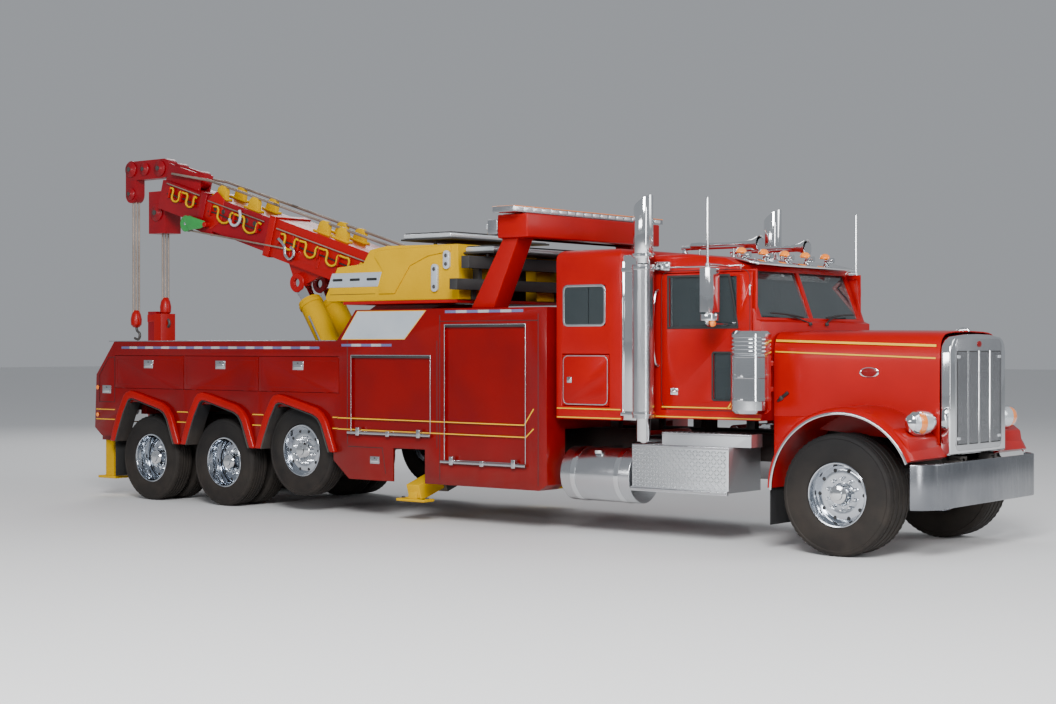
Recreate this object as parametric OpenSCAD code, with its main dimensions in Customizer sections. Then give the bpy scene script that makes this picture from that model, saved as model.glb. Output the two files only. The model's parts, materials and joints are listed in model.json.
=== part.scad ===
// Heavy wrecker with a slewing recovery boom, five axles and a long bonnet.
// X runs forward, Y to the left and Z up from the ground. Chassis stations are
// measured from the front axle; the whole machine is then moved so that the
// origin lies under the middle of its length.

/* [Axles and wheels] */
// Distance from the front axle back to the liftable axle
lift_axle_back = 6806; // [6600:10:7000]
// Distance between the liftable axle and the first driven axle
lift_to_drive = 1300; // [1240:10:1340]
// Distance between the two driven axles
tandem_spacing = 1320; // [1260:10:1360]
// Radius of a front tyre
front_tyre_r = 548; // [500:1:560]
// Width of a front tyre
front_tyre_w = 400; // [360:1:425]
// Radius of a rear tyre
rear_tyre_r = 511; // [480:1:520]
// Width of a rear tyre
rear_tyre_w = 270; // [240:1:280]
// Space between the middles of twin tyres
twin_pitch = 330; // [310:1:345]
// Width over the outer walls of the tyres
tyre_track = 2460; // [2400:10:2500]
// Height that the liftable axle is raised off the ground
lift_raise = 185; // [100:5:200]
// Radius of a wheel rim at its flange
rim_r = 290; // [270:1:296]

/* [Chassis] */
// Distance between the outer faces of the frame rails
frame_w = 860; // [800:10:900]
// Height of the frame rails
rail_h = 270; // [220:10:300]
// Height of the top of the frame rails above the ground
rail_top = 1030; // [1000:5:1060]
// Wall of the frame rails
rail_wall = 12; // [8:1:16]
// Front face of the bumper ahead of the front axle
bumper_front = 900; // [860:10:960]
// Height of the bumper
bumper_h = 400; // [340:10:440]

/* [Cab] */
// Width of the cab over its doors
cab_w = 2100; // [2000:10:2200]
// Height of the cab roof above the ground
cab_roof = 2760; // [2650:10:2850]
// Height of the cab floor above the ground
cab_floor = 1180; // [1150:10:1240]
// Back wall of the cab behind the front axle
cab_back = 2080; // [2050:10:2110]
// Foot of the windscreen behind the front axle
screen_foot = 930; // [900:10:960]
// Wall of the cab and of its doors
cab_wall = 40; // [30:1:50]
// Gap round a door
door_gap = 8; // [6:1:12]
// Thickness of the window glass
glass_t = 6; // [5:1:8]
// Width of the sleeper
sleeper_w = 2400; // [2300:10:2440]
// Back wall of the sleeper behind the front axle
sleeper_back = 3165; // [3140:5:3180]
// Height of the sleeper roof above the ground
sleeper_roof = 2830; // [2750:10:2900]

/* [Bonnet] */
// Rear edge of the bonnet behind the front axle
hood_rear = 850; // [830:10:870]
// Front face of the grille ahead of the front axle
grille_front = 810; // [780:10:830]
// Width of the bonnet at the grille
hood_front_w = 1200; // [1100:10:1300]
// Width of the bonnet at the cab
hood_rear_w = 1720; // [1600:10:1800]
// Height of the bonnet above the ground
hood_top = 2030; // [1980:10:2080]
// Width over the front wings
wing_w = 2480; // [2440:10:2500]
// Radius of the front wheel arches
arch_r = 705; // [690:1:720]
// Thickness of the bonnet and wing shells
shell_t = 14; // [10:1:20]

/* [Wrecker body] */
// Width of the wrecker body
body_w = 2540; // [2500:10:2560]
// Height of the body sides above the ground
body_top = 1930; // [1900:10:1960]
// Height of the tall lockers above the ground
tall_top = 2270; // [2240:5:2290]
// Depth of the side lockers
locker_depth = 300; // [260:5:310]
// Sheet thickness of the body
sheet = 10; // [8:1:14]
// Number of drop-down doors on each side
drop_doors = 3; // [2:1:4]
// Height of the drop-down doors
drop_door_h = 400; // [340:10:420]

/* [Turret and boom] */
// Middle of the turntable behind the front axle
turret_back = 6750; // [6700:10:6800]
// Radius of the turntable
turntable_r = 720; // [680:10:760]
// Angle of the parked boom above the horizontal
boom_angle = 16.7; // [15:0.1:18]
// Length of the boom's base stage beyond the pivot
base_len = 3000; // [2900:10:3100]
// Length that the middle stage shows beyond the base stage
mid_show = 1330; // [1200:10:1400]
// Length that the tip stage shows beyond the middle stage
tip_show = 820; // [760:10:900]
// Width of the base stage
boom_w = 560; // [520:5:580]
// Height of the base stage
boom_h = 470; // [440:5:480]
// Wall of the boom stages
boom_wall = 14; // [10:1:18]
// Gap between one boom stage and the next
boom_fit = 10; // [8:1:14]

/* [Legs and underlift] */
// Side of the square tube of the side outriggers
leg_side = 180; // [160:5:200]
// Length of the underlift's folded arm
underlift_len = 1560; // [1400:10:1600]

/* [Hidden] */
$fn = 48;

steel = [0.22, 0.22, 0.24];
red = [0.74, 0.03, 0.05];
dark_red = [0.45, 0.02, 0.05];
yellow = [0.95, 0.78, 0.05];
chrome = [0.82, 0.84, 0.86];
tyre_black = [0.05, 0.05, 0.05];
glass_tint = [0.15, 0.2, 0.22];
trim_grey = [0.55, 0.56, 0.58];

// Stations along the machine, from the front axle
lift_x = -lift_axle_back;
drive_x = lift_x - lift_to_drive;
rear_x = drive_x - tandem_spacing;
turret_x = -turret_back;
cab_back_x = -cab_back;
sleeper_back_x = -sleeper_back;
screen_foot_x = -screen_foot;
hood_rear_x = -hood_rear;
body_front_x = -3230;
tall_rear_x = -4720;
rise_foot_x = -6180;
rise_head_x = -5890;
body_tail_x = -10430;
head_rear_x = -11330;
mid_x = (bumper_front + head_rear_x) / 2;

// Heights
rail_bottom = rail_top - rail_h;
deck_z = 1275;
deck_t = 45;
skirt_z = 760;
low_skirt_z = 420;
ring_z = 1150;
turntable_z = 1282;
house_z = 2335;

// Wheels
front_tyre_y = tyre_track / 2 - front_tyre_w / 2;
twin_out_y = tyre_track / 2 - rear_tyre_w / 2;
twin_in_y = twin_out_y - twin_pitch;
lift_tyre_y = twin_out_y;
lift_z = rear_tyre_r + lift_raise;
kingpin_y = 850;
kingpin_r = 30;
pin_gap = 0.4;
seat = 0.3;
spindle_r = 45;

// Body
body_y = body_w / 2;
locker_y = body_y - locker_depth;
door_t = 30;
drop_door_z = 1355;
drop_first_x = -6140;
drop_last_x = -10045;

// Boom
pivot_x = -5450;
pivot_z = 2500;
boom_top = 100;
pin_r = 50;
mid_u = base_len + mid_show;
tip_u = mid_u + tip_show;
mid_w = boom_w - 2 * (boom_wall + boom_fit);
mid_h = boom_h - 2 * (boom_wall + boom_fit);
tip_w = mid_w - 2 * (boom_wall + boom_fit);
tip_h = mid_h - 2 * (boom_wall + boom_fit);

// Lift cylinders
barrel_x = -7000;
barrel_z = 1360;
eye_x = -7862;
eye_z = 2640;
ram_y = 190;
barrel_r = 140;
rod_r = 90;
ram_tilt = atan2(-(eye_x - barrel_x), eye_z - barrel_z);
ram_len = sqrt(pow(eye_x - barrel_x, 2) + pow(eye_z - barrel_z, 2));

// Outriggers
leg_x = -5100;
jack_x = -10330;
jack_inset = 220;
jack_y = body_y - jack_inset;

// A box between two corners
module block(x, y, z) {
    translate([x[0], y[0], z[0]])
        cube([x[1] - x[0], y[1] - y[0], z[1] - z[0]]);
}

// The shape and its mirror image on the other side
module both_sides() {
    children();
    mirror([0, 1, 0]) children();
}

// A shape on one side, +1 left or -1 right, drawn for the left
module on_side(side) {
    mirror([0, side > 0 ? 0 : 1, 0]) children();
}

// A rod along Y
module y_rod(x, z, r, y0, y1) {
    translate([x, y0, z]) rotate([-90, 0, 0]) cylinder(r = r, h = y1 - y0);
}

// A side profile in X and Z, carried along Y
module y_plate(points, y0, y1) {
    translate([0, y1, 0]) rotate([90, 0, 0])
        linear_extrude(y1 - y0) polygon(points);
}

// A ring about Y, between two radii
module y_ring(x, z, r_in, r_out, y0, y1) {
    translate([x, y0, z]) rotate([-90, 0, 0]) difference() {
        cylinder(r = r_out, h = y1 - y0);
        translate([0, 0, -1]) cylinder(r = r_in, h = y1 - y0 + 2);
    }
}

module place() {
    translate([-mid_x, 0, 0]) children();
}

// Chassis ---------------------------------------------------------------
module frame_rail() {
    y1 = frame_w / 2;
    y0 = y1 - 80;
    difference() {
        block([-10300, 640], [y0, y1], [rail_bottom, rail_top]);
        block([-10310, 650], [y0 - 1, y1 - rail_wall],
            [rail_bottom + rail_wall, rail_top - rail_wall]);
    }
}

// Slope of the outrigger legs, which slide out and down
leg_slope = 18;
leg_half = leg_side / 2;
collar_t = 40;

module leg_space() {
    translate([leg_x, 660, 480]) rotate([-leg_slope, 0, 0]) children();
}

// Sleeve that an outrigger leg slides in, hung from the rail
module leg_collar() {
    leg_space() difference() {
        block([-leg_half - collar_t, leg_half + collar_t], [-180, 180],
            [-leg_half - collar_t, leg_half + collar_t]);
        block([-leg_half - seat, leg_half + seat], [-181, 181],
            [-leg_half - seat, leg_half + seat]);
    }
    for (x = [-leg_half - collar_t, leg_half + 8])
        block([leg_x + x, leg_x + x + collar_t - 8], [frame_w / 2 - 80, 640],
            [560, rail_bottom + 1]);
}

module frame_mounts() {
    y0 = frame_w / 2 - 80;
    y1 = frame_w / 2;
    // Cab and sleeper mounts
    for (x = [-1900, -1100])
        block([x, x + 100], [y0, y1], [rail_top - 1, cab_floor - seat]);
    for (x = [-3050, -2550])
        block([x, x + 100], [y0, y1], [rail_top - 1, 1150 - seat]);
    // Engine mounts
    for (x = [-300, 200])
        block([x, x + 100], [330 + seat, y1 - 1], [850, 950]);
    // Bonnet hinge brackets
    difference() {
        block([640, hood_hinge_x + 25], [300, 330], [800, 880]);
        y_rod(hood_hinge_x, hood_hinge_z, 18 + seat, 299, 331);
    }
}

module chassis_frame() {
    color(steel) place() {
        both_sides() {
            frame_rail();
            frame_mounts();
            leg_collar();
        }
        for (x = [-10200, -8800, -7450, -6300, -4500, -3500, -2400, -1300, 600])
            block([x - 60, x + 60], [-frame_w / 2 + rail_wall, frame_w / 2 - rail_wall],
                [rail_bottom + 40, rail_top - 40]);
        // Slewing ring seat
        translate([turret_x, 0, rail_top - 1]) cylinder(r = 640, h = ring_z - rail_top + 1);
        // Tail plate and brackets that carry the underlift
        block([-10420, -10300], [-420, 420], [620, rail_top]);
        both_sides() difference() {
            block([fold_x - 70, -10419], [270, 310], [620, 900]);
            y_rod(fold_x, fold_z, 25 + pin_gap, 269, 311);
        }
    }
}

module bumper_outline() {
    polygon([[bumper_front - 190, -1220], [bumper_front - 180, -1220],
        [bumper_front, -1020], [bumper_front, 1020], [bumper_front - 180, 1220],
        [bumper_front - 190, 1220], [bumper_front - 190, 1200], [bumper_front - 30, 1000],
        [bumper_front - 30, -1000], [bumper_front - 190, -1200]]);
}

module front_bumper() {
    color(trim_grey) place() {
        translate([0, 0, 450]) linear_extrude(bumper_h) bumper_outline();
        both_sides() block([660, bumper_front - 29], [frame_w / 2 - 60, frame_w / 2],
            [rail_bottom + 10, rail_bottom + 85]);
    }
}

module engine_block() {
    color(steel) place()
        block([-760, 420], [-330, 330], [rail_bottom - 60, 1650]);
}

module front_beam() {
    block([-60, 60], [-kingpin_y + 60, kingpin_y - 60], [430, 530]);
    both_sides() {
        block([-110, 110], [frame_w / 2 - 80, frame_w / 2], [530, rail_bottom]);
        difference() {
            union() {
                block([-50, 50], [kingpin_y - 61, kingpin_y], [430, 530]);
                translate([0, kingpin_y, 430]) cylinder(r = 55, h = 100);
            }
            translate([0, kingpin_y, 429]) cylinder(r = kingpin_r + pin_gap, h = 102);
        }
    }
}

module rear_axle(x, z, reach) {
    y_rod(x, z, 60, -reach, reach);
    translate([x, 0, z]) rotate([90, 0, 0]) rotate([0, 90, 0])
        translate([0, 0, -160]) cylinder(r = 190, h = 320);
    both_sides() block([x - 90, x + 90], [frame_w / 2 - 80, frame_w / 2],
        [z, rail_bottom]);
}

module axles() {
    color(steel) place() {
        front_beam();
        rear_axle(lift_x, lift_z, 700);
        rear_axle(drive_x, rear_tyre_r, 700);
        rear_axle(rear_x, rear_tyre_r, 700);
        for (x = [drive_x, rear_x]) both_sides()
            y_rod(x, rear_tyre_r, spindle_r, 699, 1100);
        both_sides() y_rod(lift_x, lift_z, spindle_r, 699, 1190);
    }
}

module knuckle() {
    translate([0, kingpin_y, 395]) cylinder(r = kingpin_r, h = 250);
    block([-50, 50], [kingpin_y - 50, kingpin_y + 70], [395, 425]);
    block([-50, 50], [kingpin_y - 50, kingpin_y + 70], [535, 640]);
    block([-50, 50], [kingpin_y + 62, kingpin_y + 90], [395, 640]);
    y_rod(0, front_tyre_r, spindle_r, kingpin_y + 80, kingpin_y + 300);
}

module knuckle_left() {
    color(steel) place() knuckle();
}

module knuckle_right() {
    color(steel) place() on_side(-1) knuckle();
}

// A tyre's half section, turned about Y at the given place
module tyre(r, w) {
    rotate([-90, 0, 0]) rotate_extrude($fn = 96)
        polygon([[rim_r + 0.3, -w / 2 + 30], [rim_r + 60, -w / 2], [r - 90, -w / 2],
            [r - 20, -w / 2 + 25], [r, -w / 2 + 45], [r, w / 2 - 45], [r - 20, w / 2 - 25],
            [r - 90, w / 2], [rim_r + 60, w / 2], [rim_r + 0.3, w / 2 - 30]]);
}

// A rim with its disc and hub; disc_y is where the disc stands, cap closes the hub
module rim(w, disc_y, hub_out, cap = 20) {
    rotate([-90, 0, 0]) {
        difference() {
            translate([0, 0, -w / 2 + 20]) cylinder(r = rim_r, h = w - 40);
            translate([0, 0, -w / 2]) cylinder(r = rim_r - 14, h = w);
        }
        difference() {
            translate([0, 0, disc_y - 12]) cylinder(r = rim_r - 5, h = 24);
            translate([0, 0, disc_y - 20]) cylinder(r = spindle_r + pin_gap, h = 40);
            for (a = [0 : 36 : 324]) rotate(a) translate([215, 0, disc_y - 20])
                cylinder(r = 28, h = 40, $fn = 24);
        }
        difference() {
            translate([0, 0, min(disc_y, hub_out)])
                cylinder(r = 110, h = abs(hub_out - disc_y));
            translate([0, 0, min(disc_y, hub_out) - 1])
                cylinder(r = spindle_r + pin_gap, h = abs(hub_out - disc_y) - cap + 1);
        }
    }
}

module front_wheel() {
    translate([0, front_tyre_y, front_tyre_r]) {
        tyre(front_tyre_r, front_tyre_w);
        rim(front_tyre_w, 60, 165);
    }
}

module twin_wheel(x, z) {
    translate([x, twin_out_y, z]) {
        tyre(rear_tyre_r, rear_tyre_w);
        rim(rear_tyre_w, -90, 60);
    }
    translate([x, twin_in_y, z]) {
        tyre(rear_tyre_r, rear_tyre_w);
        rim(rear_tyre_w, 90, 110, -1);
    }
}

module lift_wheel() {
    translate([lift_x, lift_tyre_y, lift_z]) {
        tyre(rear_tyre_r, rear_tyre_w);
        rim(rear_tyre_w, 60, 130);
    }
}

module wheel_front_left() { color(tyre_black) place() front_wheel(); }
module wheel_front_right() { color(tyre_black) place() on_side(-1) front_wheel(); }
module wheel_lift_left() { color(tyre_black) place() lift_wheel(); }
module wheel_lift_right() { color(tyre_black) place() on_side(-1) lift_wheel(); }
module wheel_drive_left() { color(tyre_black) place() twin_wheel(drive_x, rear_tyre_r); }
module wheel_drive_right() {
    color(tyre_black) place() on_side(-1) twin_wheel(drive_x, rear_tyre_r);
}
module wheel_rear_left() { color(tyre_black) place() twin_wheel(rear_x, rear_tyre_r); }
module wheel_rear_right() {
    color(tyre_black) place() on_side(-1) twin_wheel(rear_x, rear_tyre_r);
}

// Cab -------------------------------------------------------------------
door_rear_x = -1995;
door_front_x = -975;
door_low_z = 1270;
door_high_z = 2570;
window_x = [-1905, -1140];
window_z = [2060, 2535];
peep_x = [-1403, -1203];
peep_z = [1370, 1810];
screen_low_z = 2125;
screen_high_z = 2610;
screen_lean = 190;
cowl_x = -870;
cab_y = cab_w / 2;

// Cab side outline, drawn in by t all round
module cab_outline(t) {
    polygon([[cab_back_x + t, cab_floor + t], [cowl_x - t, cab_floor + t],
        [cowl_x - t, screen_low_z - 25 - t * 0.7], [screen_foot_x - t, screen_low_z - t * 0.5],
        [screen_foot_x - screen_lean - t, screen_high_z + 30 - t],
        [screen_foot_x - screen_lean - 160, cab_roof - 45 - t], [-1700, cab_roof - t],
        [cab_back_x + t, cab_roof - t]]);
}

module across(y) {
    translate([0, y, 0]) rotate([90, 0, 0]) linear_extrude(2 * y) children();
}

// A slab that follows the windscreen, t thick, between two heights
module screen_slab(t, z0, z1, y0, y1) {
    run = screen_lean / (screen_high_z - screen_low_z);
    x0 = screen_foot_x - (z0 - screen_low_z) * run - cab_wall / 2;
    x1 = screen_foot_x - (z1 - screen_low_z) * run - cab_wall / 2;
    y_plate([[x0 - t / 2, z0], [x0 + t / 2, z0], [x1 + t / 2, z1], [x1 - t / 2, z1]], y0, y1);
}

// Rebate that a door of the cab or sleeper closes onto, for a wall at y
module door_rebate(x, z, y) {
    g = door_gap + 20;
    difference() {
        block([x[0] - g, x[1] + g], [y - cab_wall - 18, y - cab_wall + 1], [z[0] - g, z[1] + g]);
        block([x[0] - door_gap, x[1] + door_gap], [y - cab_wall - seat, y],
            [z[0] - door_gap, z[1] + door_gap]);
        block([x[0] + 12, x[1] - 12], [0, y], [z[0] + 12, z[1] - 12]);
    }
}

module cab_shell() {
    color(red) place() {
        cab_walls();
        both_sides() door_rebate([door_rear_x, door_front_x], [door_low_z, door_high_z], cab_y);
    }
}

module cab_walls() {
    difference() {
        across(cab_y) cab_outline(0);
        across(cab_y - cab_wall) cab_outline(cab_wall);
        both_sides() {
            screen_slab(4 * cab_wall, screen_low_z + 20, screen_high_z - 20, 25, cab_y - 110);
            block([door_rear_x - door_gap, door_front_x + door_gap], [cab_y - 60, cab_y + 1],
                [door_low_z - door_gap, door_high_z + door_gap]);
        }
        // Way through to the sleeper
        block([cab_back_x - 1, cab_back_x + cab_wall + 1], [-500, 500],
            [cab_floor + 120, 2450]);
        // Tunnel over the engine's rear
        block([cowl_x - cab_wall - 1, cowl_x + 1], [-300, 300], [cab_floor + 60, 1500]);
    }
}

module cab_glass() {
    color(glass_tint) place() {
        both_sides() screen_slab(glass_t, screen_low_z + 20 + seat, screen_high_z - 20 - seat,
            25 + seat, cab_y - 110 - seat);
        both_sides() block([sleeper_win_x[0] + seat, sleeper_win_x[1] - seat],
            [sleeper_w / 2 - 20, sleeper_w / 2 - 20 + glass_t],
            [sleeper_win_z[0] + seat, sleeper_win_z[1] - seat]);
    }
}

// Hinge knuckles at a door's front edge, at two heights
module knuckles(x, y, z) {
    for (z0 = [z[0] + 110, z[1] - 190])
        translate([x + 2, y + 2, z0]) cylinder(r = 5, h = 80);
}

module cab_door() {
    knuckles(door_front_x, cab_y, [door_low_z, door_high_z]);
    difference() {
        block([door_rear_x, door_front_x], [cab_y - cab_wall, cab_y], [door_low_z, door_high_z]);
        block(window_x, [cab_y - cab_wall - 1, cab_y + 1], window_z);
        block(peep_x, [cab_y - cab_wall - 1, cab_y + 1], peep_z);
    }
}

module pane(x, z) {
    block([x[0] + seat, x[1] - seat], [cab_y - 24, cab_y - 24 + glass_t],
        [z[0] + seat, z[1] - seat]);
}

module door_glass() {
    pane(window_x, window_z);
    pane(peep_x, peep_z);
}

module mirror_set() {
    block([-1290, -1190], [1270, 1450], [2190, 2600]);
    translate([-1240, 1360, 2112]) cylinder(r = 85, h = 60);
    y_rod(-1225, 2630, 12, cab_y + seat, 1440);
    y_rod(-1225, 2090, 12, cab_y + seat, 1440);
    translate([-1225, 1420, 2080]) cylinder(r = 14, h = 560);
    translate([-1225, 1420, 2630]) cylinder(r = 9, h = 620, $fn = 24);
}

module cab_door_left() { color(red) place() cab_door(); }
module cab_door_right() { color(red) place() on_side(-1) cab_door(); }
module door_glass_left() { color(glass_tint) place() door_glass(); }
module door_glass_right() { color(glass_tint) place() on_side(-1) door_glass(); }
module mirror_left() { color(chrome) place() mirror_set(); }
module mirror_right() { color(chrome) place() on_side(-1) mirror_set(); }

module cab_seat(y) {
    block([-1900, -1400], [y - 240, y + 240], [cab_floor + 300, cab_floor + 440]);
    block([-1980, -1860], [y - 230, y + 230], [cab_floor + 400, cab_floor + 1050]);
    block([-1800, -1500], [y - 150, y + 150], [cab_floor + cab_wall, cab_floor + 301]);
}

module cab_interior() {
    color([0.3, 0.3, 0.32]) place() {
        cab_seat(520);
        cab_seat(-520);
        block([-1190, cowl_x - cab_wall], [-960, 960], [1760, 2040]);
        translate([-1230, 520, 1990]) rotate([0, -60, 0]) difference() {
            cylinder(r = 225, h = 30);
            translate([0, 0, -1]) cylinder(r = 200, h = 32);
        }
        translate([-1230, 520, 1990]) rotate([0, -60, 0]) {
            cylinder(r = 45, h = 30);
            block([-10, 10], [-210, 210], [5, 25]);
            translate([0, 0, -130]) cylinder(r = 25, h = 135);
        }
    }
}

// Sleeper ---------------------------------------------------------------
sleeper_floor = 1150;
sleeper_front_x = -2360;
sleeper_win_x = [-3070, -2560];
sleeper_win_z = [2080, 2475];
luggage_x = [-3085, -2520];
luggage_z = [1290, 1790];

module sleeper_shell() {
    color(red) place() {
        sleeper_walls();
        both_sides() door_rebate(luggage_x, luggage_z, sleeper_w / 2);
    }
}

module sleeper_walls() {
    half = sleeper_w / 2;
    difference() {
        union() {
            block([sleeper_back_x, sleeper_front_x], [-half, half], [sleeper_floor, sleeper_roof]);
            block([sleeper_front_x - 1, cab_back_x], [-half + 180, half - 180],
                [sleeper_floor + 30, cab_roof]);
        }
        block([sleeper_back_x + cab_wall, sleeper_front_x - cab_wall],
            [-half + cab_wall, half - cab_wall],
            [sleeper_floor + cab_wall, sleeper_roof - cab_wall]);
        block([sleeper_front_x - cab_wall - 1, cab_back_x + 1], [-500, 500],
            [cab_floor + 120, 2450]);
        both_sides() {
            block(sleeper_win_x, [half - cab_wall - 1, half + 1], sleeper_win_z);
            block([luggage_x[0] - door_gap, luggage_x[1] + door_gap],
                [half - cab_wall - 1, half + 1],
                [luggage_z[0] - door_gap, luggage_z[1] + door_gap]);
        }
    }
}

module sleeper_door() {
    knuckles(luggage_x[1], sleeper_w / 2, luggage_z);
    block(luggage_x, [sleeper_w / 2 - cab_wall, sleeper_w / 2], luggage_z);
}

module sleeper_door_left() { color(red) place() sleeper_door(); }
module sleeper_door_right() { color(red) place() on_side(-1) sleeper_door(); }

// Bonnet ----------------------------------------------------------------
hood_hinge_x = 800;
hood_hinge_z = 850;
hood_nose_x = 700;
arch_x = 50;
arch_z = 570;
arch_band = 20;

// A thin slice across the bonnet, drawn in by t
module hood_slice(x, w, z0, t) {
    translate([x, 0, 0]) rotate([90, 0, 90]) linear_extrude(2)
        polygon([[-w / 2 + t, z0], [w / 2 - t, z0], [w / 2 - t, hood_top - 150],
            [w / 2 - 50 - t * 0.6, hood_top - 45 - t * 0.6], [w / 2 - 170, hood_top - t],
            [-w / 2 + 170, hood_top - t], [-w / 2 + 50 + t * 0.6, hood_top - 45 - t * 0.6],
            [-w / 2 + t, hood_top - 150]]);
}

module hood_form(t, ends) {
    hull() {
        hood_slice(hood_rear_x - ends, hood_rear_w, 1150 - 3 * ends, t);
        hood_slice(hood_nose_x + ends, hood_front_w, 1000 - 3 * ends, t);
    }
}

module wing() {
    intersection() {
        y_ring(arch_x, arch_z, arch_r, arch_r + arch_band, 560, wing_w / 2);
        union() {
            block([-760, 1], [500, wing_w], [arch_z + 10, 2000]);
            block([0, 760], [500, wing_w], [870, 2000]);
        }
    }
    // Rear closing panel and front apron
    difference() {
        union() {
            block([hood_rear_x, -500], [hood_rear_w / 2 - shell_t, hood_rear_w / 2], [600, 1200]);
            block([640, hood_nose_x], [600, 1000], [870, 1080]);
        }
        y_rod(arch_x, arch_z, arch_r + 1, 0, wing_w);
    }
}

module hood() {
    color(red) place() {
        difference() {
            hood_form(0, 0);
            hood_form(shell_t, 5);
        }
        both_sides() wing();
    }
}

// Front outline of the grille shell in Y and Z, drawn in by t
module grille_outline(t) {
    h = hood_front_w / 2 - shell_t + 0.5 - t;
    z = hood_top - 40 - t;
    polygon([[-h, 900 + t * 0.6], [h, 900 + t * 0.6], [h, z - 140], [h - 30, z - 85],
        [h - 145, z - 40], [200, z - 8], [0, z], [-200, z - 8], [-h + 145, z - 40],
        [-h + 30, z - 85], [-h, z - 140]]);
}

module grille() {
    color(chrome) place() {
        translate([hood_nose_x - 2, 0, 0]) rotate([90, 0, 90]) difference() {
            linear_extrude(grille_front - hood_nose_x + 2) grille_outline(0);
            translate([0, 0, -1]) linear_extrude(grille_front) grille_outline(100);
        }
        for (i = [-11 : 11]) block([740, 760], [i * 42 - 4, i * 42 + 4], [959, hood_top - 180]);
        block([740, 760], [-486, 486], [hood_top - 190, hood_top - 180]);
        // Hinge arms and pins
        both_sides() {
            block([hood_hinge_x - 15, hood_hinge_x + 10], [335, 360], [hood_hinge_z - 18, 930]);
            y_rod(hood_hinge_x, hood_hinge_z, 18, 300, 360);
        }
    }
}

module headlights() {
    side_y = hood_front_w / 2 + 13.7;
    color(chrome) place() both_sides() {
        block([580, 740], [680, 1060], [1095, 1320]);
        block([620, 680], [side_y, 681], [1150, 1200]);
    }
}

// Side fittings ---------------------------------------------------------
cleaner_x = -845;
cleaner_y = 1275;
stack_x = -2100;
stack_y = 1200;
stack_r = 95;
stack_joint_z = 2720;
stack_top = 3330;
stack_mitre = 135;

module air_cleaners() {
    color(chrome) place() both_sides() {
        translate([cleaner_x, cleaner_y, 1250]) cylinder(r = 188, h = 775);
        block([-960, cowl_x - 20], [cab_y, cleaner_y - 100], [1500, 1600]);
    }
}

module exhaust_stacks() {
    color(chrome) place() both_sides() {
        difference() {
            translate([stack_x, stack_y, stack_joint_z])
                cylinder(r = stack_r, h = stack_top - stack_joint_z);
            y_plate([[stack_x - stack_r - 1, stack_top - stack_mitre],
                [stack_x + stack_r + 1, stack_top + 1],
                [stack_x - stack_r - 1, stack_top + 1]],
                stack_y - stack_r - 1, stack_y + stack_r + 1);
        }
        translate([stack_x, stack_y, 960]) cylinder(r = 68, h = 1761);
        y_rod(stack_x, 1000, 60, frame_w / 2 + seat, stack_y);
        block([sleeper_front_x, stack_x], [stack_y - 15, stack_y + 15], [1200, 1230]);
        block([sleeper_front_x, stack_x], [stack_y - 20, stack_y], [2600, 2640]);
    }
}

module roof_trim() {
    color(chrome) place() {
        // Sun visor
        y_plate([[-1240, 2696.6], [-980, 2640], [-975, 2655], [-1235, 2720]], -920, 920);
        for (y = [-800, -400, 0, 400, 800])
            translate([-1235, y, 2745]) rotate([0, 90, 0]) cylinder(r = 28, h = 90);
        for (y = [-450, 450]) {
            translate([-2150, y, 2850]) rotate([0, 90, 0]) cylinder(r = 22, h = 800);
            translate([-1350, y, 2850]) rotate([0, 90, 0]) cylinder(r1 = 22, r2 = 70, h = 110);
            block([-2140, -2100], [y - 20, y + 20], [cab_roof, 2840]);
            block([-1500, -1470], [y - 20, y + 20], [cab_roof - 21, 2840]);
        }
    }
}

module fuel_tanks() {
    color(chrome) place() both_sides() {
        translate([-3105, 945, 600]) rotate([0, 90, 0]) cylinder(r = 270, h = 840);
        for (x = [-2960, -2500]) block([x, x + 60], [frame_w / 2, 760], [560, 860]);
    }
}

module step_boxes() {
    color(trim_grey) place() both_sides() {
        block([-2240, -1140], [620, 1190], [500, 930]);
        block([-2240, -1140], [1189, 1220], [480, 520]);
        block([-1950, -950], [900, 1100], [929, 1050]);
        block([-2100, -1300], [frame_w / 2, 621], [rail_bottom + 20, rail_bottom + 120]);
    }
}

// Wrecker body ----------------------------------------------------------
arch_top = 1190;
shutter_1 = [[-5965, -4790], [915, 1780]];
shutter_2 = [[-4600, -3500], [650, 2105]];
shutter_t = 20;
leg_gap = [-5330, -4870];
skirt_t = 22;
drop_pitch = (drop_first_x - drop_last_x) / drop_doors;

// Trapezium of a wheel arch, from the ground up to its flat top
module arch_cut(x) {
    polygon([[x - 590, 300], [x - 570, 780], [x - 480, 1080], [x - 290, arch_top],
        [x + 290, arch_top], [x + 480, 1080], [x + 570, 780], [x + 590, 300]]);
}

module body_outline() {
    difference() {
        polygon([[body_tail_x, 860], [-10290, skirt_z], [lift_x + 400, skirt_z],
            [-5990, low_skirt_z], [-3330, low_skirt_z], [body_front_x, low_skirt_z + 60],
            [body_front_x, tall_top], [rise_head_x, tall_top], [rise_foot_x, body_top],
            [-10050, body_top], [body_tail_x + 30, 1520]]);
        for (x = [lift_x, drive_x, rear_x]) arch_cut(x);
    }
}

module side_locker(x, z) {
    block(x, [locker_y + sheet, body_y + 1], z);
}

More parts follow.
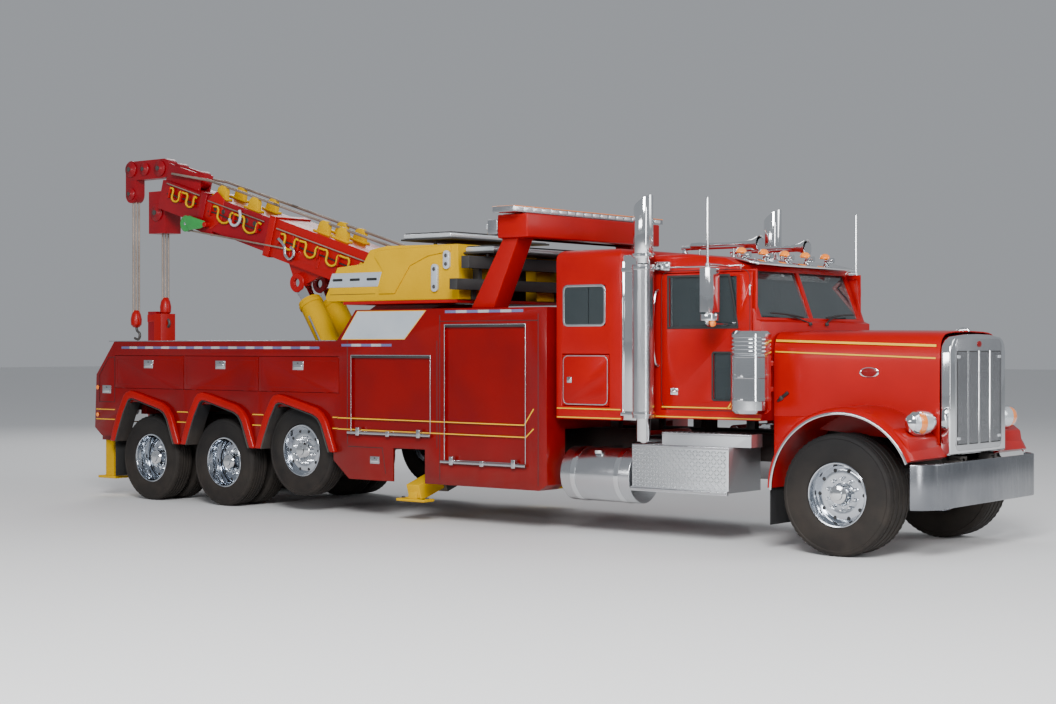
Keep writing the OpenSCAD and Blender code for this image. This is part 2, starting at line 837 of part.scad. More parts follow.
module body_side() {
    difference() {
        translate([0, body_y, 0]) rotate([90, 0, 0])
            linear_extrude(locker_depth) body_outline();
        // Over-wheel lockers, with a rebate that each door closes onto
        for (i = [0 : drop_doors - 1]) {
            x0 = drop_last_x + i * drop_pitch;
            side_locker([x0 + 18, x0 + drop_pitch - 18],
                [drop_door_z + 12, drop_door_z + drop_door_h - 12]);
            block([x0 + 2, x0 + drop_pitch - 2], [body_y - door_t - seat, body_y + 1],
                [drop_door_z, drop_door_z + drop_door_h + 6]);
        }
        side_locker(shutter_1[0], shutter_1[1]);
        side_locker(shutter_2[0], shutter_2[1]);
        block([-5850, shutter_1[0][1] - 10], [locker_y + sheet, body_y - skirt_t],
            [shutter_1[1][0], tall_top - skirt_t]);
        // Skirts between, ahead of and behind the wheels are thin
        block([body_tail_x - 1, -6240], [locker_y - 1, body_y - skirt_t], [300, deck_z]);
        block([-5985, shutter_1[0][1]], [locker_y - 1, body_y - skirt_t], [300, 895]);
        block(leg_gap, [locker_y - 1, body_y + 1], [300, 780]);
    }
}

module wrecker_body() {
    color(red) place() {
        both_sides() body_side();
        // Deck between the lockers
        difference() {
            block([body_tail_x + 30, tall_rear_x], [-locker_y - 1, locker_y + 1],
                [deck_z - deck_t, deck_z]);
            translate([turret_x, 0, deck_z - deck_t - 1])
                cylinder(r = 640 + seat, h = deck_t + 2);
        }
        block([tall_rear_x - 1, body_front_x], [-locker_y - 1, locker_y + 1],
            [tall_top - 60, tall_top]);
        block([body_front_x - 40, body_front_x], [-locker_y - 1, locker_y + 1],
            [1060, tall_top - 59]);
        block([tall_rear_x - 41, tall_rear_x], [-locker_y - 1, locker_y + 1],
            [deck_z - deck_t, tall_top - 59]);
        block([body_tail_x + 30, body_tail_x + 60], [-locker_y - 1, locker_y + 1],
            [1060, 1500]);
        // Sleeves of the rear jacks
        both_sides() difference() {
            block([jack_x - 100, jack_x + 100], [jack_y - 105, jack_y + 105], [700, deck_z + 1]);
            block([jack_x - 75 - seat, jack_x + 75 + seat], [jack_y - 75 - seat, jack_y + 75 + seat],
                [699, 1200]);
        }
        // Cross-bearers on the frame
        for (x = [-9900, -7900, -5600, -4800, -3400])
            block([x, x + 100], [-locker_y - 1, locker_y + 1], [rail_top, deck_z - deck_t + 1]);
    }
}

module shutter(s) {
    block([s[0][0] + seat, s[0][1] - seat], [body_y - 45, body_y - 45 + shutter_t],
        [s[1][0] + seat, s[1][1] - seat]);
}

module roller_shutters() {
    color(dark_red) place() both_sides() {
        shutter(shutter_1);
        shutter(shutter_2);
    }
}

module drop_door(i, side) {
    x1 = drop_first_x - (i - 1) * drop_pitch - door_gap;
    x0 = drop_first_x - i * drop_pitch + door_gap;
    color(red) place() on_side(side) {
        block([x0, x1], [body_y - door_t, body_y], [drop_door_z + 5, drop_door_z + drop_door_h]);
        for (x = [x0 + 150, x1 - 230])
            translate([x, body_y + 3, drop_door_z + 4.5]) rotate([0, 90, 0])
                cylinder(r = 4.2, h = 80);
    }
}

module light_pylon() {
    color(red) place() {
        both_sides() y_plate([[-4360, tall_top], [-4050, tall_top], [-3710, 3000],
            [-3920, 3000]], 870, 1120);
        block([-3950, -3550], [-1180, 1180], [2985, 3230]);
    }
}

module pylon_light_bar() {
    color(trim_grey) place() {
        block([-3890, -3610], [-1330, 1330], [3240, 3300]);
        for (y = [-800, 800]) block([-3800, -3700], [y - 50, y + 50], [3230, 3241]);
        both_sides() block([-4080, -3950 - seat], [1000, 1180], [3030, 3180]);
    }
}

// Turret ----------------------------------------------------------------
cheek_y = 345;
cheek_t = 45;
platform_z = 2340;
house_y = 950;
house_skin = 20;
platform_top = house_z + 40 - seat;

module turret_cheek() {
    difference() {
        y_plate([[-7350, turntable_z + 59], [-6100, turntable_z + 59], [-5850, 2250],
            [-5250, 2345], [-5250, 2560], [-5450, 2640], [-6000, 2560], [-6900, 2100],
            [-7350, 1620]], cheek_y, cheek_y + cheek_t);
        y_rod(pivot_x, pivot_z, pin_r + pin_gap, 0, cheek_y + cheek_t + 1);
    }
}

module turret_frame() {
    color(red) place() {
        translate([turret_x, 0, ring_z + seat])
            cylinder(r = 610, h = turntable_z - ring_z - seat + 1);
        difference() {
            translate([turret_x, 0, turntable_z]) cylinder(r = turntable_r, h = 60);
            // Room for the feet of the lift cylinders
            block([-7220, -6830], [-cheek_y + 10, cheek_y - 10],
                [turntable_z, turntable_z + 61]);
        }
        both_sides() turret_cheek();
        // Pin of the lift cylinders and its middle bearer
        y_rod(barrel_x, barrel_z, 30, -cheek_y - 1, cheek_y + 1);
        block([barrel_x - 60, barrel_x + 60], [-45, 45], [turntable_z - 1, barrel_z + 45]);
        // Platform under the winches and the housing
        block([-5251, -4700], [-house_y + 5, house_y - 5], [platform_z, platform_top]);
        both_sides() {
            block([-6400, -5250], [cheek_y + cheek_t - 1, house_y - 5], [platform_z, platform_top]);
            block([-5600, -5250], [cheek_y + 1, cheek_y + cheek_t - 1],
                [platform_z, platform_top + 1]);
        }
    }
}

module house_outline(t) {
    polygon([[-6660 + t, house_z + 40], [-6680 + t, 2430], [-6490 + t * 0.8, 2760 - t],
        [-6090, 2790 - t], [-5980, 2945 - t], [-5720, 2980 - t], [-4690 - t, 2965 - t],
        [-4670 - t, house_z + 40]]);
}

module turret_housing() {
    color(yellow) place() both_sides() difference() {
        translate([0, house_y, 0]) rotate([90, 0, 0])
            linear_extrude(house_y - cheek_y - cheek_t - 1) house_outline(0);
        translate([0, house_y - house_skin, -1]) rotate([90, 0, 0])
            linear_extrude(house_y) house_outline(house_skin);
    }
}

module turret_winches() {
    color(steel) place() {
        y_rod(-4930, 2640, 130, -341, 341);
        for (y = [-340, 0, 340])
            block([-5060, -4800], [y - 9, y + 9], [platform_top + seat, 2800]);
        // Beams stowed across the turret's tail
        block([-4560, -4450], [-1040, 1040], [2700, 2830]);
        block([-4640, -4530], [-1140, 1140], [2475, 2590]);
        both_sides() block([-4670 + seat, -4639], [700, 760], [2376, 2520]);
        both_sides() block([-4640, -4560 + 1], [700, 760], [2589, 2830]);
    }
}

// Boom ------------------------------------------------------------------
lug_u = 2350;
lug_w = -559;
lug_t = 60;

// Boom coordinates: the boom points along -X from its pivot, tilted up
module boom_space() {
    translate([pivot_x, 0, pivot_z]) rotate([0, boom_angle, 0]) children();
}

module stage(u0, u1, w, h, top, wall) {
    difference() {
        block([-u1, -u0], [-w / 2, w / 2], [top - h, top]);
        block([-u1 - 1, -u0 + 1], [-w / 2 + wall, w / 2 - wall], [top - h + wall, top - wall]);
    }
}

module boom_base() {
    color(red) place() boom_space() {
        difference() {
            union() {
                stage(250, base_len, boom_w, boom_h, boom_top, boom_wall);
                both_sides() translate([0, boom_w / 2, 0]) rotate([90, 0, 0])
                    linear_extrude(30) polygon([[-700, boom_top - 20], [60, 75], [90, 0],
                        [60, -75], [-250, -140], [-700, boom_top - boom_h + 20]]);
            }
            // Root cut back so that it swings clear of the turret's floor
            translate([0, boom_w, 0]) rotate([90, 0, 0]) linear_extrude(2 * boom_w)
                polygon([[-249, -140], [-249, -600], [-700, -600], [-700, boom_top - boom_h - 1],
                    [-690, boom_top - boom_h - 1]]);
        }
        y_rod(0, 0, pin_r, -cheek_y - cheek_t, cheek_y + cheek_t);
        both_sides() translate([0, ram_y + lug_t / 2, 0]) rotate([90, 0, 0])
            linear_extrude(lug_t) polygon([[-lug_u - 250, boom_top - boom_h + 1],
                [-lug_u - 70, lug_w - 20], [-lug_u, lug_w - 70], [-lug_u + 70, lug_w - 20],
                [-lug_u + 350, boom_top - boom_h + 1]]);
    }
}

// Wear pads that carry one stage inside the next, from u0 to u1
module wear_pads(u0, u1, w, h, top) {
    t = boom_fit - seat;
    both_sides() block([-u1, -u0], [w / 2 - 1, w / 2 + t], [top - h + 60, top - 60]);
    block([-u1, -u0], [-w / 2 + 60, w / 2 - 60], [top - 1, top + t]);
    block([-u1, -u0], [-w / 2 + 60, w / 2 - 60], [top - h - t, top - h + 1]);
}

module boom_mid() {
    inset = boom_wall + boom_fit;
    color(dark_red) place() boom_space() {
        stage(700, mid_u, mid_w, mid_h, boom_top - inset, boom_wall);
        wear_pads(700, 900, mid_w, mid_h, boom_top - inset);
        // Bracket of the snatch block under the mouth
        block([-mid_u, -mid_u + 320], [-mid_w / 2, mid_w / 2],
            [boom_top - inset - mid_h - 60, boom_top - inset - mid_h + 1]);
    }
}

module boom_tip() {
    inset = 2 * (boom_wall + boom_fit);
    color(dark_red) place() {
        boom_space() {
            stage(1200, tip_u, tip_w, tip_h, boom_top - inset, boom_wall);
            wear_pads(1200, 1400, tip_w, tip_h, boom_top - inset);
            both_sides() block([-tip_u - 100, -tip_u + 560], [70, 100],
                [boom_top - inset - 20, 260]);
            for (u = [tip_u - 30, tip_u - 480]) {
                y_rod(-u, 180, 110, -69.5, 69.5);
                y_rod(-u, 180, 25, -71, 71);
            }
        }
        // Lower sheave head and the outer tower, which hang plumb
        block([-10780, -10450], [-130, 130], [3350, 3900]);
        block([-11250, -10550], [-71, 71], [4080, 4330]);
        y_rod(-10550, 4205, 125, -71, 71);
        block([head_rear_x, -11110], [-70, 70], [3890, 4230]);
        for (z = [3890, 4230]) y_rod(head_rear_x + 110, z, 110, -70, 70);
    }
}

// Lift cylinders ----------------------------------------------------------
module ram_space() {
    translate([barrel_x, 0, barrel_z]) rotate([0, -ram_tilt, 0]) children();
}

module lift_barrels() {
    color(yellow) place() ram_space() both_sides() difference() {
        union() {
            translate([0, ram_y, 50]) cylinder(r = barrel_r, h = 1230);
            block([-45, 45], [ram_y - 60, ram_y + 60], [-45, 51]);
        }
        translate([0, ram_y, 100]) cylinder(r = rod_r + pin_gap, h = 1300);
        y_rod(0, 0, 30 + pin_gap, ram_y - 61, ram_y + 61);
    }
}

module lift_rods() {
    color(chrome) place() ram_space() both_sides() {
        translate([0, ram_y, 110]) cylinder(r = rod_r, h = ram_len - 110 - 130);
        block([-80, 80], [ram_y - 60, ram_y + 60], [ram_len - 131, ram_len - 100]);
        for (y = [-60, 42]) block([-70, 70], [ram_y + y, ram_y + y + 18],
            [ram_len - 131, ram_len + 60]);
    }
}

// Outriggers, jacks and underlift -----------------------------------------
module outrigger() {
    leg_space() block([-leg_half, leg_half], [-640, 560], [-leg_half, leg_half]);
    block([leg_x - 200, leg_x + 200], [1080, 1260], [215, 245]);
    block([leg_x - 60, leg_x + 60], [1120, 1220], [244, 320]);
}

module outrigger_left() { color(yellow) place() outrigger(); }
module outrigger_right() { color(yellow) place() on_side(-1) outrigger(); }

module rear_jack() {
    block([jack_x - 75, jack_x + 75], [jack_y - 75, jack_y + 75], [250, 1150]);
    block([jack_x - 170, jack_x + 170], [jack_y - 120, jack_y + 120], [220, 251]);
}

module rear_jack_left() { color(yellow) place() rear_jack(); }
module rear_jack_right() { color(yellow) place() on_side(-1) rear_jack(); }

fold_x = -10620;
fold_z = 740;
bar_pivot_z = 1640;

module underlift_arm() {
    color(red) place() {
        block([fold_x - 60, fold_x + 60], [-260, 260], [fold_z - 60, fold_z + 160]);
        block([fold_x - 70, fold_x + 70], [-120, 120], [fold_z + 159, fold_z + underlift_len]);
        y_rod(fold_x, fold_z, 25, -310, 310);
        translate([fold_x - 160, 0, bar_pivot_z]) rotate([0, 90, 0]) cylinder(r = 40, h = 91);
    }
}

module underlift_crossbar() {
    color(red) place() difference() {
        block([fold_x - 240, fold_x - 80], [-80, 80], [bar_pivot_z - 690, bar_pivot_z + 690]);
        translate([fold_x - 241, 0, bar_pivot_z]) rotate([0, 90, 0])
            cylinder(r = 40 + pin_gap, h = 162);
    }
}

chassis_frame();
front_bumper();
engine_block();
axles();
knuckle_left();
knuckle_right();
wheel_front_left();
wheel_front_right();
wheel_lift_left();
wheel_lift_right();
wheel_drive_left();
wheel_drive_right();
wheel_rear_left();
wheel_rear_right();
cab_shell();
cab_glass();
cab_door_left();
cab_door_right();
door_glass_left();
door_glass_right();
mirror_left();
mirror_right();
cab_interior();
sleeper_shell();
sleeper_door_left();
sleeper_door_right();
hood();
grille();
headlights();
air_cleaners();
exhaust_stacks();
roof_trim();
fuel_tanks();
step_boxes();
wrecker_body();
roller_shutters();
drop_door(1, 1);  // drop_door_1_left
drop_door(2, 1);  // drop_door_2_left
drop_door(3, 1);  // drop_door_3_left
drop_door(1, -1);  // drop_door_1_right
drop_door(2, -1);  // drop_door_2_right
drop_door(3, -1);  // drop_door_3_right
light_pylon();
pylon_light_bar();
turret_frame();
turret_housing();
turret_winches();
boom_base();
boom_mid();
boom_tip();
lift_barrels();
lift_rods();
outrigger_left();
outrigger_right();
rear_jack_left();
rear_jack_right();
underlift_arm();
underlift_crossbar();
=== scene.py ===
"""A heavy recovery truck with a slewing boom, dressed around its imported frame."""

import json
import logging
import math
from dataclasses import dataclass
from enum import Enum
from typing import Iterable, Optional, Sequence

import bpy
from mathutils import Matrix, Vector

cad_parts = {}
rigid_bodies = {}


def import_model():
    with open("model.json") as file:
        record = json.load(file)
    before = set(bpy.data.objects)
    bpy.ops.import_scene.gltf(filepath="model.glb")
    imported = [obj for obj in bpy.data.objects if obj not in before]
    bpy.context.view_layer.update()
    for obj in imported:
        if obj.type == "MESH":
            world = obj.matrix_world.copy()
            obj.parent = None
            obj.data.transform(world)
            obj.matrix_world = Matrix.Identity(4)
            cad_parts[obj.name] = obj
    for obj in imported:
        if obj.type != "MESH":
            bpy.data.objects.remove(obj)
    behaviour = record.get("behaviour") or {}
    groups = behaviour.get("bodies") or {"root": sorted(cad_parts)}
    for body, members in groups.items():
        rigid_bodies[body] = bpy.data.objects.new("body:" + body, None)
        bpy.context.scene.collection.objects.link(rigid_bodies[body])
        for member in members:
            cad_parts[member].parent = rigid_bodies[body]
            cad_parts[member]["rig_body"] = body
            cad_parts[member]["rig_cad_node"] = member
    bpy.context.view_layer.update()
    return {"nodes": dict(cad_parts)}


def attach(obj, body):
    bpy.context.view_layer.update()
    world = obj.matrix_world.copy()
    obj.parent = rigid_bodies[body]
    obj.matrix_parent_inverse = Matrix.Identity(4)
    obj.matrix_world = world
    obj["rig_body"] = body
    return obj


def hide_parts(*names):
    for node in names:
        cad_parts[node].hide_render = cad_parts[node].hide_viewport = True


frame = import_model()
LOG = logging.getLogger("recovery_truck")

Point = tuple[float, float, float]
Flat = tuple[float, float]
Thing = bpy.types.Object
Tree = bpy.types.NodeTree
Socket = bpy.types.NodeSocket

# Places that the classes give count X from the front axle, Y from the middle and Z from the
# ground, in metres. AXLE_X is that axle's X in the frame.
AXLE_X = 5.215
MERGE = 0.00002  # points closer than this are one
CAD_MERGE = 0.00003
CAD_FLAT = 0.6  # degrees under which a cast's facets are one
SHARP = 35  # degrees over which an edge is rounded
FLIP = Matrix.Diagonal((1, -1, 1, 1))
DRIFT_SCALE = 1.7
BUMP_DEPTH = 0.003
BAR_PITCH = 0.072
MESH_PITCH = 0.016
DUST = (0.3, 0.22, 0.16)


class Axis(Enum):
    """Which way a section is carried."""

    X = 0
    Y = 1
    Z = 2


class Look(Enum):
    """How a finish is grained."""

    PAINT = "paint"
    CAST = "cast"
    BRUSHED = "brushed"
    RUBBER = "rubber"
    TREAD_PLATE = "tread plate"
    MESH = "mesh"
    GLASS = "glass"
    LENS = "lens"


def feed(tree: Tree, taker: bpy.types.Node, inputs: dict[str | int, object]) -> None:
    """Links each input of a node to a socket, or sets it to a value."""
    for key, value in inputs.items():
        if isinstance(value, Socket):
            tree.links.new(value, taker.inputs[key])
        else:
            taker.inputs[key].default_value = value


def add_node(tree: Tree, kind: str, inputs: dict[str | int, object], out: str | int = 0,
        **settings: str) -> Socket:
    """Adds a shader node.

    Args:
        tree: the material's tree.
        kind: the node's type, without its first word.
        inputs: a socket or a value for each input.
        out: which output is wanted.
        settings: options of the node itself.

    Returns:
        The output.
    """
    made = tree.nodes.new("ShaderNode" + kind)
    for key, value in settings.items():
        setattr(made, key, value)
    feed(tree, made, inputs)
    return made.outputs[out]


def noise(tree: Tree, place: Socket, scale: float, detail: float) -> Socket:
    """Returns a noise value over the piece."""
    return add_node(tree, "TexNoise", {"Scale": scale, "Detail": detail, "Vector": place}, "Fac")


def maths(tree: Tree, kind: str, first: Socket, second: object = 0.5) -> Socket:
    """Returns one sum of a socket and a second socket or number."""
    return add_node(tree, "Math", {0: first, 1: second}, operation=kind)


def parts(tree: Tree, place: Socket) -> Sequence[Socket]:
    """Returns the X, Y and Z of a place."""
    return add_node(tree, "SeparateXYZ", {0: place}).node.outputs[:]


def slants(tree: Tree, place: Socket) -> Sequence[Socket]:
    """Returns two slanting places that serve level and upright faces alike."""
    x, y, z = parts(tree, place)
    across = maths(tree, "ADD", y, z)
    return [maths(tree, kind, x, across) for kind in ("ADD", "SUBTRACT")]


def woven(tree: Tree, ways: Sequence[Socket], pitch: float, level: float) -> Socket:
    """Returns where two crossed waves of one pitch rise over a level."""
    a, b = (maths(tree, "SINE", maths(tree, "MULTIPLY", way, math.tau / pitch)) for way in ways)
    return maths(tree, "GREATER_THAN", maths(tree, "MULTIPLY", a, b), level)


def laid_over(tree: Tree, factor: Socket, base: Socket, colour: Sequence[float]) -> Socket:
    """Returns a colour socket with another colour laid over it by a factor."""
    return add_node(tree, "Mix", {"Factor": factor, "A": base, "B": (*colour, 1)}, "Result",
        data_type="RGBA")


# Finishes ----------------------------------------------------------------
@dataclass(frozen=True)
class Finish:
    """One surface finish, made as a node material.

    The two colours are mixed by a slow pattern, and roughness runs between two values.
    """

    name: str
    slot: str
    look: Look
    colour: Point
    worn: Point
    rough: Flat = (0.2, 0.35)
    metal: float = 0.0
    coat: float = 0.0
    grain: float = 40.0
    bump: float = 0.05
    glow: float = 0.0
    dust: float = 0.0
    shine: float = 0.5

    def material(self) -> bpy.types.Material:
        """Returns the material, made once and kept by name."""
        found = bpy.data.materials.get(self.name)
        return found if found else self._make()

    def _make(self) -> bpy.types.Material:
        """Builds the node tree.

        Returns:
            The new material.
        """
        made = bpy.data.materials.new(self.name)
        made.use_nodes = True
        made.diffuse_color = (*self.colour, 1)
        tree = made.node_tree
        place = add_node(tree, "TexCoord", {}, "Object")
        colour = self._drift(tree, noise(tree, place, DRIFT_SCALE, 4))
        pattern, over = self._pattern(tree, place)
        if over:
            colour = laid_over(tree, pattern, colour, over)
        if self.dust:
            colour = laid_over(tree, self._dusting(tree, place), colour, DUST)
        low, high = self.rough
        bump = add_node(tree, "Bump", {"Strength": self.bump, "Distance": BUMP_DEPTH,
            "Height": pattern})
        values = {"Base Color": colour, "Metallic": self.metal, "Coat Weight": self.coat,
            "Coat Roughness": 0.03, "Specular IOR Level": self.shine, "Normal": bump,
            "Roughness": add_node(tree, "MapRange", {"To Min": low, "To Max": high,
            "Value": pattern})}
        if self.look is Look.GLASS:
            values |= {"Transmission Weight": 0.75, "IOR": 1.3}
        if self.glow:
            values |= {"Emission Color": (*self.colour, 1), "Emission Strength": self.glow}
        feed(tree, tree.nodes["Principled BSDF"], values)
        return made

    def _pattern(self, tree: Tree, place: Socket) -> tuple[Socket, Optional[list[float]]]:
        """Returns the look's fine pattern, and the colour of its raised part if it has one."""
        if self.look is Look.TREAD_PLATE:
            return (woven(tree, slants(tree, place), BAR_PITCH, 0.12),
                [min(1, c * 4.2) for c in self.colour])
        if self.look is Look.MESH:
            return (woven(tree, parts(tree, place)[1:], MESH_PITCH, 0.05),
                [c * 0.12 for c in self.colour])
        if self.look is Look.BRUSHED:
            drawn_out = add_node(tree, "Mapping", {"Scale": (1, 1, 0.06), "Vector": place})
            return (noise(tree, drawn_out, self.grain, 3), None)
        return (noise(tree, place, self.grain, 5), None)

    def _drift(self, tree: Tree, factor: Socket) -> Socket:
        """Returns a colour that drifts between the two colours by a factor."""
        ramp = tree.nodes.new("ShaderNodeValToRGB")
        for stop, place, colour in zip(ramp.color_ramp.elements, (0.35, 0.68),
                (self.colour, self.worn)):
            stop.position = place
            stop.color = (*colour, 1)
        feed(tree, ramp, {0: factor})
        return ramp.outputs[0]

    def _dusting(self, tree: Tree, place: Socket) -> Socket:
        """Returns how much road dust lies at a place: patchy, and thinner with height."""
        height = add_node(tree, "MapRange", {"From Min": 0.35, "From Max": 1.1,
            "To Min": self.dust, "To Max": 0, "Value": parts(tree, place)[2]})
        return maths(tree, "MULTIPLY", height, noise(tree, place, 7, 6))


RED = Finish("gloss_red", "paint_red", Look.PAINT, (0.36, 0.0, 0.0), (0.3, 0.0, 0.0), (0.26, 0.34),
    coat=0.06, grain=260, bump=0.012, dust=0.05, shine=0.22)
CRIMSON = Finish("gloss_crimson", "paint_red", Look.PAINT, (0.2, 0.0, 0.001), (0.155, 0.0, 0.001),
    (0.24, 0.34), coat=0.08, grain=260, bump=0.012, dust=0.08, shine=0.24)
BOOM_RED = Finish("boom_red", "paint_dark_red", Look.PAINT, (0.38, 0.001, 0.001),
    (0.36, 0.002, 0.004), (0.28, 0.42), coat=0.08, grain=120, bump=0.04, shine=0.28)
# Painted shade: a darker, bluer copy of the boom red that stands in for shade on the boom, used on
# the middle and tip stages and on the underlift
SHADED_BOOM_RED = Finish("shaded_red", "paint_dark_red", Look.PAINT, (0.3, 0.002, 0.008),
    (0.22, 0.002, 0.008), (0.3, 0.45), coat=0.08, grain=120, bump=0.04, shine=0.28)
YELLOW = Finish("gloss_yellow", "paint_yellow", Look.PAINT, (0.66, 0.385, 0.0), (0.58, 0.33, 0.0),
    (0.34, 0.46), coat=0.0, shine=0.05, grain=180, bump=0.03)
STRIPE = Finish("gold_stripe", "paint_yellow", Look.PAINT, (0.82, 0.44, 0.01), (0.72, 0.36, 0.01),
    (0.3, 0.4), coat=0.5, grain=200, bump=0.01)
BLACK = Finish("chassis_black", "frame_black", Look.CAST, (0.018, 0.018, 0.02),
    (0.035, 0.033, 0.031), (0.4, 0.65), grain=60, bump=0.12, dust=0.35)
IRON = Finish("cast_iron", "cast_steel", Look.CAST, (0.07, 0.07, 0.075), (0.11, 0.1, 0.09),
    (0.45, 0.7), metal=0.6, grain=90, bump=0.25)
CHROME = Finish("chrome", "polished", Look.BRUSHED, (0.8, 0.81, 0.82), (0.7, 0.72, 0.74),
    (0.04, 0.1), metal=1.0, grain=30, bump=0.01)
STAINLESS = Finish("stainless", "polished", Look.BRUSHED, (0.62, 0.63, 0.65), (0.52, 0.53, 0.55),
    (0.16, 0.3), metal=1.0, grain=90, bump=0.05)
ALLOY = Finish("polished_alloy", "polished", Look.BRUSHED, (0.66, 0.69, 0.73), (0.52, 0.55, 0.6),
    (0.08, 0.18), metal=1.0, grain=60, bump=0.04)
PLATE = Finish("tread_plate", "tread_plate", Look.TREAD_PLATE, (0.16, 0.155, 0.15),
    (0.12, 0.115, 0.11), (0.3, 0.5), metal=0.5, bump=0.8, dust=0.2)
BUMPER_STEEL = Finish("bumper_steel", "polished", Look.BRUSHED, (0.3, 0.31, 0.33),
    (0.2, 0.21, 0.23), (0.14, 0.34), metal=1.0, grain=24, bump=0.25)
GRILLE_MESH = Finish("grille_mesh", "polished", Look.MESH, (0.55, 0.56, 0.58), (0.45, 0.46, 0.48),
    (0.25, 0.5), metal=1.0, bump=0.6)
TYRE = Finish("tyre_rubber", "tyre", Look.RUBBER, (0.009, 0.009, 0.01), (0.018, 0.017, 0.016),
    (0.6, 0.85), grain=140, bump=0.2, dust=0.1, shine=0.2)
RUBBER = Finish("black_rubber", "frame_black", Look.RUBBER, (0.01, 0.01, 0.011),
    (0.02, 0.02, 0.02), (0.5, 0.75), grain=160, bump=0.1)
PLASTIC = Finish("dark_plastic", "trim_plastic", Look.RUBBER, (0.03, 0.03, 0.033),
    (0.045, 0.045, 0.05), (0.35, 0.55), grain=300, bump=0.15)
GLASS = Finish("window_glass", "glass", Look.GLASS, (0.1, 0.13, 0.14), (0.08, 0.11, 0.12),
    (0.02, 0.04), coat=1.0, grain=20, bump=0.002)
AMBER = Finish("amber_lens", "paint_yellow", Look.LENS, (0.95, 0.26, 0.01), (0.8, 0.18, 0.01),
    (0.08, 0.2), coat=1.0, grain=350, bump=0.2, glow=0.15)
CLEAR = Finish("clear_lens", "glass", Look.LENS, (0.75, 0.78, 0.8), (0.6, 0.64, 0.68),
    (0.05, 0.15), metal=0.5, coat=1.0, grain=350, bump=0.25, glow=0.05)
RED_LENS = Finish("red_lens", "paint_red", Look.LENS, (0.6, 0.01, 0.01), (0.5, 0.01, 0.01),
    (0.08, 0.2), coat=1.0, grain=350, bump=0.2, glow=0.1)
TAPE_BLUE = Finish("blue_tape", "polished", Look.LENS, (0.16, 0.17, 0.34), (0.12, 0.12, 0.26),
    (0.2, 0.35), metal=0.2, grain=400, bump=0.15)
TAPE = Finish("silver_tape", "polished", Look.LENS, (0.62, 0.63, 0.66), (0.45, 0.46, 0.5),
    (0.15, 0.3), metal=0.4, grain=400, bump=0.15)
PANEL = Finish("pale_panel", "polished", Look.PAINT, (0.52, 0.58, 0.64), (0.62, 0.66, 0.7),
    (0.12, 0.25), metal=0.35, coat=0.5, grain=40, bump=0.02)
GREEN = Finish("gloss_green", "paint_yellow", Look.PAINT, (0.02, 0.3, 0.05), (0.02, 0.24, 0.05),
    (0.3, 0.45), coat=0.6, grain=120, bump=0.04)
ROPE = Finish("wire_rope", "cast_steel", Look.BRUSHED, (0.36, 0.29, 0.24), (0.2, 0.15, 0.12),
    (0.35, 0.6), metal=0.5, grain=500, bump=0.5)
SEAT_CLOTH = Finish("seat_cloth", "trim_plastic", Look.RUBBER, (0.16, 0.15, 0.14),
    (0.11, 0.1, 0.1), (0.7, 0.9), grain=500, bump=0.3)


# The bench ---------------------------------------------------------------
def deselect_all() -> None:
    """Leaves edit mode and leaves nothing selected."""
    if bpy.context.object and bpy.context.object.mode != "OBJECT":
        bpy.ops.object.mode_set(mode="OBJECT")
    bpy.ops.object.select_all(action="DESELECT")


def edit() -> None:
    """Opens the active mesh in edit mode with all of it selected."""
    bpy.ops.object.mode_set(mode="EDIT")
    bpy.ops.mesh.select_all(action="SELECT")


def settle() -> None:
    """Turns every face of the open mesh outwards and leaves edit mode."""
    bpy.ops.mesh.select_all(action="SELECT")
    bpy.ops.mesh.normals_make_consistent(inside=False)
    bpy.ops.object.mode_set(mode="OBJECT")


def pick(thing: Thing) -> None:
    """Makes one object the only selected and active one."""
    deselect_all()
    thing.select_set(True)
    bpy.context.view_layer.objects.active = thing


def outward(thing: Thing) -> None:
    """Merges doubled points and turns every face outwards."""
    pick(thing)
    edit()
    bpy.ops.mesh.remove_doubles(threshold=MERGE)
    bpy.ops.mesh.dissolve_degenerate()
    settle()


def rounded(thing: Thing, width: float, steps: int = 2, angle: float = SHARP) -> None:
    """Rounds the sharp edges of an object by a bevel that is applied."""
    pick(thing)
    cut = thing.modifiers.new("round", "BEVEL")
    cut.width = width
    cut.segments = steps
    cut.limit_method = "ANGLE"
    cut.angle_limit = math.radians(angle)
    bpy.ops.object.modifier_apply(modifier=cut.name)


